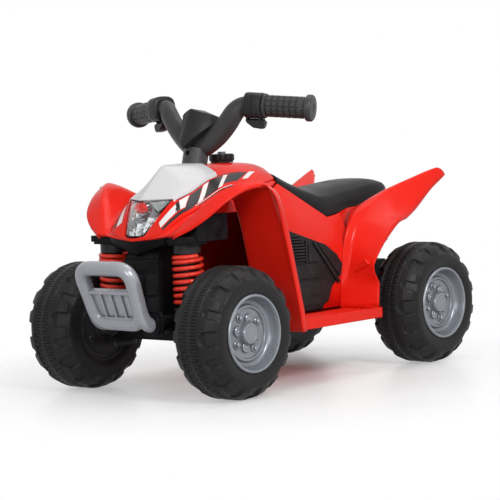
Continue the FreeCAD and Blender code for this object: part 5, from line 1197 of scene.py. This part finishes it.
gripShape = {
    "start": (109.6, -86.2, 419.3), "length": 77, "radius": 16.4, "core": 14.7, "flange": 20,
    "rings": 6, "ribs": 12, "perRib": 6, "ribCut": 1.0,
    "collar": [(0, 13.2), (0, 17.4), (1, 18.2), (3.4, 18.2), (4.4, 17.4)],
}


def gripPart(shape):
    length, core, radius, flange = (shape[key] for key in ("length", "core", "radius", "flange"))
    spacing = (length - 20) / shape["rings"]
    profile = list(shape["collar"])
    for ring in range(shape["rings"]):
        start = 5.4 + spacing * ring
        profile += [(start, core), (start + 1.4, core), (start + 2.2, radius)]
        profile.append((start + spacing - 0.8, radius))
    profile += [(length - 13, core), (length - 11, core), (length - 10, flange - 1), (length - 8.6, flange),
                (length - 3, flange), (length - 1, flange - 1.4), (length - 0.3, flange - 4),
                (length - 0.3, 6), (length - 1.2, 5.4), (length - 1.2, 0.01)]

    def ribbed(along, reach, step):
        grooved = step % shape["perRib"] == 0 and abs(reach - radius) < 0.01
        return reach - shape["ribCut"] if grooved else reach

    return lathe(profile, shape["ribs"] * shape["perRib"], ribbed)


def buildGrip(shape, sign, label):
    part = moved(gripPart(shape), barPlace(shape["start"], sign))
    piece = closedPiece("grip_%s_skin" % label, [part], "gripBlack", 35)
    settle(piece, "steering", "grip_black", "grip_" + label)


for sideSign, sideName in bothSides:
    buildGrip(gripShape, sideSign, sideName)

padShape = {
    # ends of the rounded ridge in front and of the upright edge at each side
    "ridge": ((0, -150.6, 360), (0, -129, 419.6)), "side": ((30, -115, 393.5), (30, -114.8, 409.4)),
    "sweep": 1.7, "deep": 17, "drop": 4, "taper": 0.96, "rows": 9, "columns": 17,
}


def buildPad(shape):
    rows, columns = shape["rows"], shape["columns"]
    points = []
    for row in range(rows):
        ridge, side = (Vector(lerp(*shape[key], row / (rows - 1))) for key in ("ridge", "side"))
        front, back = [], []
        for column in range(columns):
            share = 2 * column / (columns - 1) - 1
            z = ridge.lerp(side, abs(share)).z
            front.append((side.x * share, ridge.y + (side.y - ridge.y) * abs(share) ** shape["sweep"], z))
            back.append((side.x * share * shape["taper"], side.y + shape["deep"], z - shape["drop"]))
        points += front + back[::-1]
    faces = gridFaces(rows, columns * 2, True)
    for first in (0, (rows - 1) * columns * 2):
        for column in range(columns - 1):
            far = first + columns * 2 - 1 - column
            faces.append((first + column, first + column + 1, far - 1, far))
    piece = closedPiece("handlebar_pad_skin", [(points, faces)], "blackSatin", 32, (0.9, 2, 40))
    settle(piece, "steering", "black_plastic", "handlebar_pad")


buildPad(padShape)

housingShape = {
    "start": (83.3, -96.7, 421.75), "length": 28, "radius": 20.2, "bore": 13.4, "square": 3.0, "shrink": 0.95,
    "sides": 48,
    # ears and web that carry the lever: outline (along, up), front and back
    "ears": [([(2, -14), (5.5, -14), (5.5, -25), (3, -25)], -7, 5),
             ([(22.6, -14), (26, -14), (25, -25), (22.6, -25)], -7, 5),
             ([(2.5, -14), (30.6, -14), (30.6, -19.3), (2.5, -19.3)], -1.4, 1.4)],
    # blade of the thumb lever in the same way, and the hinge barrel on its pin's axis
    "blade": ([(1.5, -21.4), (31, -21.6), (33, -24.6), (31.4, -31.6), (28, -34.6), (15, -33.4),
               (4.4, -26.6)], -8, 6),
    "barrel": [(1.6, 0.4), (1.6, 3.05), (31, 3.05), (31, 0.4)], "barrelHeight": -22.5,
}


def buildHousing(shape, sign, label, leverName):
    length, radius, power = (shape[key] for key in ("length", "radius", "square"))
    half = [(0, shape["bore"]), (0.2, radius - 2.6), (1.6, radius - 0.5), (3.4, radius),
            (length / 2 - 0.9, radius), (length / 2 - 0.5, radius - 0.7)]
    profile = half + [(length - along, reach) for along, reach in half[::-1]]

    def squared(along, reach, step):
        angle = 2 * math.pi * step / shape["sides"]
        total = abs(math.cos(angle)) ** power + abs(math.sin(angle)) ** power
        return shape["shrink"] * reach * total ** (-1 / power)

    place = barPlace(shape["start"], sign)
    parts = [lathe(profile, shape["sides"], squared)] + [slabPart(*ear) for ear in shape["ears"]]
    name = "switch_housing_" + label
    piece = closedPiece(name + "_skin", [moved(part, place) for part in parts], "blackSatin", 35)
    settle(piece, "steering", "black_plastic", name)
    barrel = moved(lathe(shape["barrel"], 20), Matrix.Translation((0, 0, shape["barrelHeight"])))
    parts = [moved(part, place) for part in (slabPart(*shape["blade"]), barrel)]
    lever = closedPiece(leverName + "_skin", parts, "blackSatin", 30, (1.6, 3, 30))
    settle(lever, leverName + "_body", "black_plastic", leverName)


buildHousing(housingShape, 1, "left", "horn_lever")
buildHousing(housingShape, -1, "right", "throttle_lever")

capShape = {
    # profile (up, radius) from the foot over the rim into the button's well
    "profile": [(0, 16.5), (0.2, 17.6), (3, 17.8), (3.4, 18.8), (4.4, 19.4), (11, 19.2), (12.6, 18.2),
                (13.4, 16.2), (13.4, 13.6), (12.2, 13.2), (12.0, 7.2), (11.0, 6.9), (6, 6.9)],
    "centre": (0, -63, 335.4), "scallops": 12, "perScallop": 8, "scallopDepth": 1.8,
}


def buildFuelCap(shape):
    def scalloped(up, radius, step):
        wave = max(0.0, math.cos(2 * math.pi * step / shape["perScallop"])) ** 2
        return radius - (shape["scallopDepth"] * wave if radius > 17.9 and up > 3.2 else 0.0)

    points, faces = lathe(shape["profile"], shape["scallops"] * shape["perScallop"], scalloped)
    upright = [(y, z, x) for x, y, z in points]
    part = moved((upright, faces), Matrix.Translation(shape["centre"]))
    settle(closedPiece("fuel_cap_skin", [part], "blackSatin", 35), "chassis", "black_plastic", "fuel_cap")


buildFuelCap(capShape)

panelShape = {
    # side outline (y, z) of the engine panel
    "outline": [(-24, 229), (67, 200.5), (93, 184), (106, 168), (101.5, 151), (78.5, 134.5), (69, 113),
                (56, 107.4), (53, 101.6), (-24, 101.6)],
    "inner": 92.3, "outer": 94.4, "sink": 0.5,
    "fins": {"count": 9, "top": 221, "pitch": 4.7, "front": -22, "back": 13.4, "grow": 4, "height": 2.8},
    # raised forms: outline and height over the panel
    "forms": [([(14.6, 211), (18, 210), (18, 177), (14.6, 177)], 2.6),
              ([(33, 206.4), (39, 206), (97, 142), (92, 138.6)], 2.8),
              ([(-22, 174), (44, 174), (46, 171), (46, 155), (44, 152), (-22, 152)], 2.0),
              ([(45, 204.6), (66, 199), (91, 183), (103.4, 167.6), (99.6, 152.4), (97, 150)], 1.5),
              ([(-22, 147.6), (48, 147.6), (58, 147.6), (75, 134), (66, 114), (54.6, 109), (50.6, 104),
                (-22, 104)], 1.3),
              ([(-22, 140), (22, 140), (26, 136), (26, 124), (48, 124), (50, 121), (44, 110),
                (-22, 110)], 2.6),
              ([(22, 205), (30, 203), (50, 181), (50, 177), (22, 177)], 1.4)],
}


def buildEnginePanel(shape, sign, label):
    fins = shape["fins"]
    forms = []
    for index in range(fins["count"]):
        z = fins["top"] - fins["pitch"] * index
        front, back = fins["front"], min(fins["back"], fins["grow"] * index)
        forms.append(([(front, z), (back, z - 0.8), (back, z - 3.4), (front, z - 2.6)], fins["height"]))
    outer = shape["outer"]
    parts = [prismPart(shape["outline"], shape["inner"], outer)]
    for outline, height in forms + shape["forms"]:
        parts.append(prismPart(outline, outer - shape["sink"], outer + height))
    parts = [(mirrored([points], sign)[0], faces) for points, faces in parts]
    piece = closedPiece("engine_panel_%s_skin" % label, parts, "panelBlack", 30, (0.5, 2, 30))
    settle(piece, "chassis", "black_plastic", "engine_panel_" + label)


for sideSign, sideName in bothSides:
    buildEnginePanel(panelShape, sideSign, sideName)

trayShape = {
    "half": 163, "front": -83.7, "back": 117.6, "base": 84.6, "top": 100.8, "rim": 4,
    "floor": 97.5, "floorDepth": 4,
    "ribs": {"count": 5, "start": 102, "pitch": 11, "width": 5, "front": -70, "back": 104, "rise": 1.4},
}


def buildTray(shape):
    # an open-bottomed skin: floor, walls round it and ridges under the feet
    half, front, back, base, top, rim, floor, ribs = (shape[key] for key in (
        "half", "front", "back", "base", "top", "rim", "floor", "ribs"))
    parts = [boxPart((-half + 2, front + 2, floor - shape["floorDepth"]), (half - 2, back - 2, floor)),
             boxPart((-half, front, base), (half, front + rim, top)),
             boxPart((-half, back - rim, base), (half, back, top))]
    for sign in (1, -1):
        low, high = sorted((sign * half, sign * (half - rim)))
        parts.append(boxPart((low, front, base), (high, back, top)))
        for index in range(ribs["count"]):
            start = ribs["start"] + ribs["pitch"] * index
            low, high = sorted((sign * start, sign * (start + ribs["width"])))
            parts.append(boxPart((low, ribs["front"], floor - 1), (high, ribs["back"], floor + ribs["rise"])))
    piece = closedPiece("footrest_skin", parts, "redGloss", 30, (1.2, 2, 40))
    settle(piece, "chassis", "red_plastic", "footrest_pan")


buildTray(trayShape)

blockShape = {
    # plan rings (half width of the prow, its front, cheek front, half width, height) from the axle up
    "rings": [(17, -262.6, -247, 33, 111), (17, -262.6, -247, 33, 184), (23, -262.6, -252, 33, 200.5),
              (21, -258, -248, 32, 203), (17, -247, -238, 32, 222), (17, -240, -232, 32, 232)],
    "back": -201,
    # raised plates on the prow: low and high corner (x, z), and their depth
    "plates": [((-21, 187), (-1, 198.5)), ((1, 187), (21, 198.5)), ((-15, 149), (15, 179.5)),
               ((-15, 114), (15, 146.5))],
    "plateFront": -263.4, "plateBack": -261,
    # plates on the cheeks: plan (x, y) and heights
    "cheek": [(19.5, -262), (31.9, -249.6), (31.9, -246.6), (19.5, -259)],
    "cheekHeights": [(116, 146), (149.5, 180)],
    # bracket over the shock absorbers: slab and crown, a collar round each and a tower behind it
    "bracket": [((-100, -252.6, 226.2), (100, -176.4, 235.4)), ((-100, -237.6, 226.2), (100, -176.4, 241.6))],
    "collar": {"low": (52, -252.4), "high": (99.6, -207), "heights": (222.6, 235)},
    "tower": [(52, 226.2), (101, 226.2), (101, 266), (90, 262), (70, 246), (52, 246)],
    "towerFront": -236, "towerBack": -169, "corner": 9,
    # flanges of the bumper sockets: half width, half height, back and front of each step
    "flange": {"x": 46.3, "z": 110.5, "steps": [(20, 18.5, -275, -280.5), (17, 15.6, -280, -284)]},
}


def buildFrontBlock(shape):
    corner, back = shape["corner"], shape["back"]
    rings = []
    for prow, front, cheek, half, z in shape["rings"]:
        side = [(prow, front, z), (half, cheek, z), (half, back, z)]
        rings.append(side + mirrored([side], -1)[0][::-1])
    parts = [loftPart(rings)] + [boxPart(*box) for box in shape["bracket"]]
    for (x0, z0), (x1, z1) in shape["plates"]:
        parts.append(boxPart((x0, shape["plateFront"], z0), (x1, shape["plateBack"], z1)))
    collar, flange = shape["collar"], shape["flange"]
    for sign in (1, -1):
        for heights in shape["cheekHeights"]:
            parts.append(loftPart([[(sign * x, y, z) for x, y in shape["cheek"]] for z in heights]))
        plan = roundedPlan(collar["low"], collar["high"], corner)
        parts.append(loftPart([[(sign * x, y, z) for x, y in plan] for z in collar["heights"]]))
        tower = [(sign * x, z) for x, z in shape["tower"]]
        parts.append(slabPart(tower, shape["towerFront"], shape["towerBack"]))
        x, z = sign * flange["x"], flange["z"]
        for wide, tall, rear, front in flange["steps"]:
            plan = roundedPlan((x - wide, z - tall), (x + wide, z + tall), corner)
            parts.append(slabPart(plan, rear, front))
    piece = closedPiece("front_block_skin", parts, "tubBlack", 30, (0.7, 2, 30))
    settle(piece, "chassis", "black_plastic", "front_block")


buildFrontBlock(blockShape)

apronShape = {
    # rows under the chin, from the upper to the lower edge
    "rows": [[(0, -265.5, 228.4), (22, -263, 230.2), (42, -260.5, 232.6), (57, -257.5, 235.4)],
             [(0, -263, 219), (21, -261, 222.5), (40, -258.5, 226), (55, -256, 230)],
             [(0, -260.8, 208.4), (20, -259, 214), (38, -256.8, 219), (53, -255, 224)]],
    "thickness": 3, "columnCreases": {3: 0.9}, "rowCreases": {},
}


def buildApron(shape):
    apron = gridPiece("chin_apron", wholeRows(shape["rows"]), "tubBlack", (0, -1, 0.2), shape)
    addBevel(apron, 0.5, 2, 40)
    settle(apron, "chassis", "black_plastic")


buildApron(apronShape)

springShape = {
    "x": 75, "y": -230, "low": 134.6, "high": 206.4, "radius": 20.1, "wire": 3.25, "pitch": 9.64,
    "closed": 6.0, "lead": 145.2, "perTurn": 28, "sides": 14,
}


def buildSpring(shape, sign, label):
    # closed end turns, an even helix between them
    closed, pitch, radius, sides = (shape[key] for key in ("closed", "pitch", "radius", "sides"))
    first, last = shape["low"] + closed, shape["high"] - closed
    start = math.pi / 2 + 2 * math.pi * (first - shape["lead"]) / pitch
    turns = (last - first) / pitch
    path = []
    for step in range(round((turns + 2) * shape["perTurn"]) + 1):
        turn = step / shape["perTurn"] - 1
        z = first + closed * min(0, turn) + pitch * min(turns, max(0, turn)) + closed * max(0, turn - turns)
        angle = start + 2 * math.pi * turn
        x = shape["x"] + radius * math.cos(angle)
        path.append(Vector((sign * x, shape["y"] + radius * math.sin(angle), z)))
    points, faces = sweepPart(path, [ovalRing(shape["wire"], shape["wire"], sides)] * len(path))
    for start in (0, (len(path) - 1) * sides):
        capFan(points, faces, list(range(start, start + sides)))
    piece = closedPiece("coil_spring_%s_skin" % label, [(points, faces)], "springRed", 50)
    settle(piece, "chassis", "spring_red", "coil_spring_" + label)


for sideSign, sideName in bothSides:
    buildSpring(springShape, sideSign, sideName)
print("trim made")

# CAD nodes that stay as they are get their finish
carried = {
    "tubBlack": ["chassis_tub", "axle_beam"],
    "blackSatin": ["damper_left", "damper_right", "steering_knuckle_left", "steering_knuckle_right",
                   "tie_rod", "gearbox_case_outer", "gearbox_case_inner", "charge_socket"],
    "silverGrey": ["cap_button"],
    "zincSteel": ["rear_axle", "rear_lock_nuts", "stub_axle_left", "stub_axle_right", "front_lock_nut_left",
                  "front_lock_nut_right", "steering_shaft", "body_screws", "drive_motor"],
    "gearWhite": ["output_gear", "idler_gear"],
    "gearBrass": ["motor_pinion"],
    "batteryGrey": ["battery"],
    "gripBlack": ["wiring"],
}
for finishName, nodeNames in carried.items():
    for nodeName in nodeNames:
        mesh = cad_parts[nodeName].data
        mesh.materials.clear()
        mesh.materials.append(materials[finishName])

# floor, world and lamps, in metres
floorShape = {"half": 6.0, "color": (0.95, 0.95, 0.955, 1), "fadeFrom": 0.1, "fadeTo": 0.6, "cover": 0.94}


def buildFloor(shape):
    half = shape["half"]
    mesh = bpy.data.meshes.new("floor")
    corners = [(-half, -half, 0), (half, -half, 0), (half, half, 0), (-half, half, 0)]
    mesh.from_pydata(corners, [], [(0, 1, 2, 3)])
    floor = bpy.data.objects.new("floor", mesh)
    bpy.context.scene.collection.objects.link(floor)
    material, tree, shader = newMaterial("floorPale")
    feed(tree, shader["Base Color"], useGroup(tree, toneGroup, Color=shape["color"], Scale=3.0, Amount=0.006))
    feed(tree, shader["Roughness"], rangeNode(tree, noiseNode(tree, 8.0), 0.3, 0.7, 0.28, 0.36))
    far = addNode(tree, "ShaderNodeVectorMath", {0: objectPoint(tree)}, operation="LENGTH").outputs["Value"]
    feed(tree, shader["Alpha"], rangeNode(tree, far, shape["fadeFrom"], shape["fadeTo"], shape["cover"], 0.0))
    mesh.materials.append(material)


buildFloor(floorShape)

worldShape = {"color": (1, 1, 1, 1), "light": 0.38, "seen": 1.0}


def buildWorld(shape):
    # a dimmer world lights the object than the one that is seen or mirrored
    world = bpy.data.worlds.new("studio")
    bpy.context.scene.world = world
    world.use_nodes = True
    tree = world.node_tree
    base = tree.nodes["Background"]
    base.inputs["Color"].default_value = shape["color"]
    base.inputs["Strength"].default_value = shape["light"]
    seen = addNode(tree, "ShaderNodeBackground", {"Color": shape["color"], "Strength": shape["seen"]})
    path = addNode(tree, "ShaderNodeLightPath").outputs
    view = mathNode(tree, "MAXIMUM", path["Is Camera Ray"], path["Is Transmission Ray"])
    view = mathNode(tree, "MAXIMUM", view, path["Is Glossy Ray"])
    mix = addNode(tree, "ShaderNodeMixShader", {0: view, 1: base.outputs[0], 2: seen.outputs[0]})
    feed(tree, tree.nodes["World Output"].inputs["Surface"], mix.outputs[0])


buildWorld(worldShape)

lampAim = Vector((0, 0, 0.2))
lamps = {
    "keyLamp": {"spot": (2.3, -0.9, 1.7), "size": 0.7, "power": 44},
    "fillLamp": {"spot": (1.3, -2.5, 1.0), "size": 0.9, "power": 17},
    "topLamp": {"spot": (0.3, 0.6, 2.4), "size": 1.4, "power": 13},
}
for lampName, setup in lamps.items():
    light = bpy.data.lights.new(lampName, "AREA")
    light.shape = "SQUARE"
    light.size = setup["size"]
    light.energy = setup["power"]
    lamp = bpy.data.objects.new(lampName, light)
    lamp.location = setup["spot"]
    lamp.rotation_euler = (lampAim - Vector(setup["spot"])).to_track_quat("-Z", "Y").to_euler()
    bpy.context.scene.collection.objects.link(lamp)

bpy.context.scene.view_settings.view_transform = "Standard"
print("scene ready")
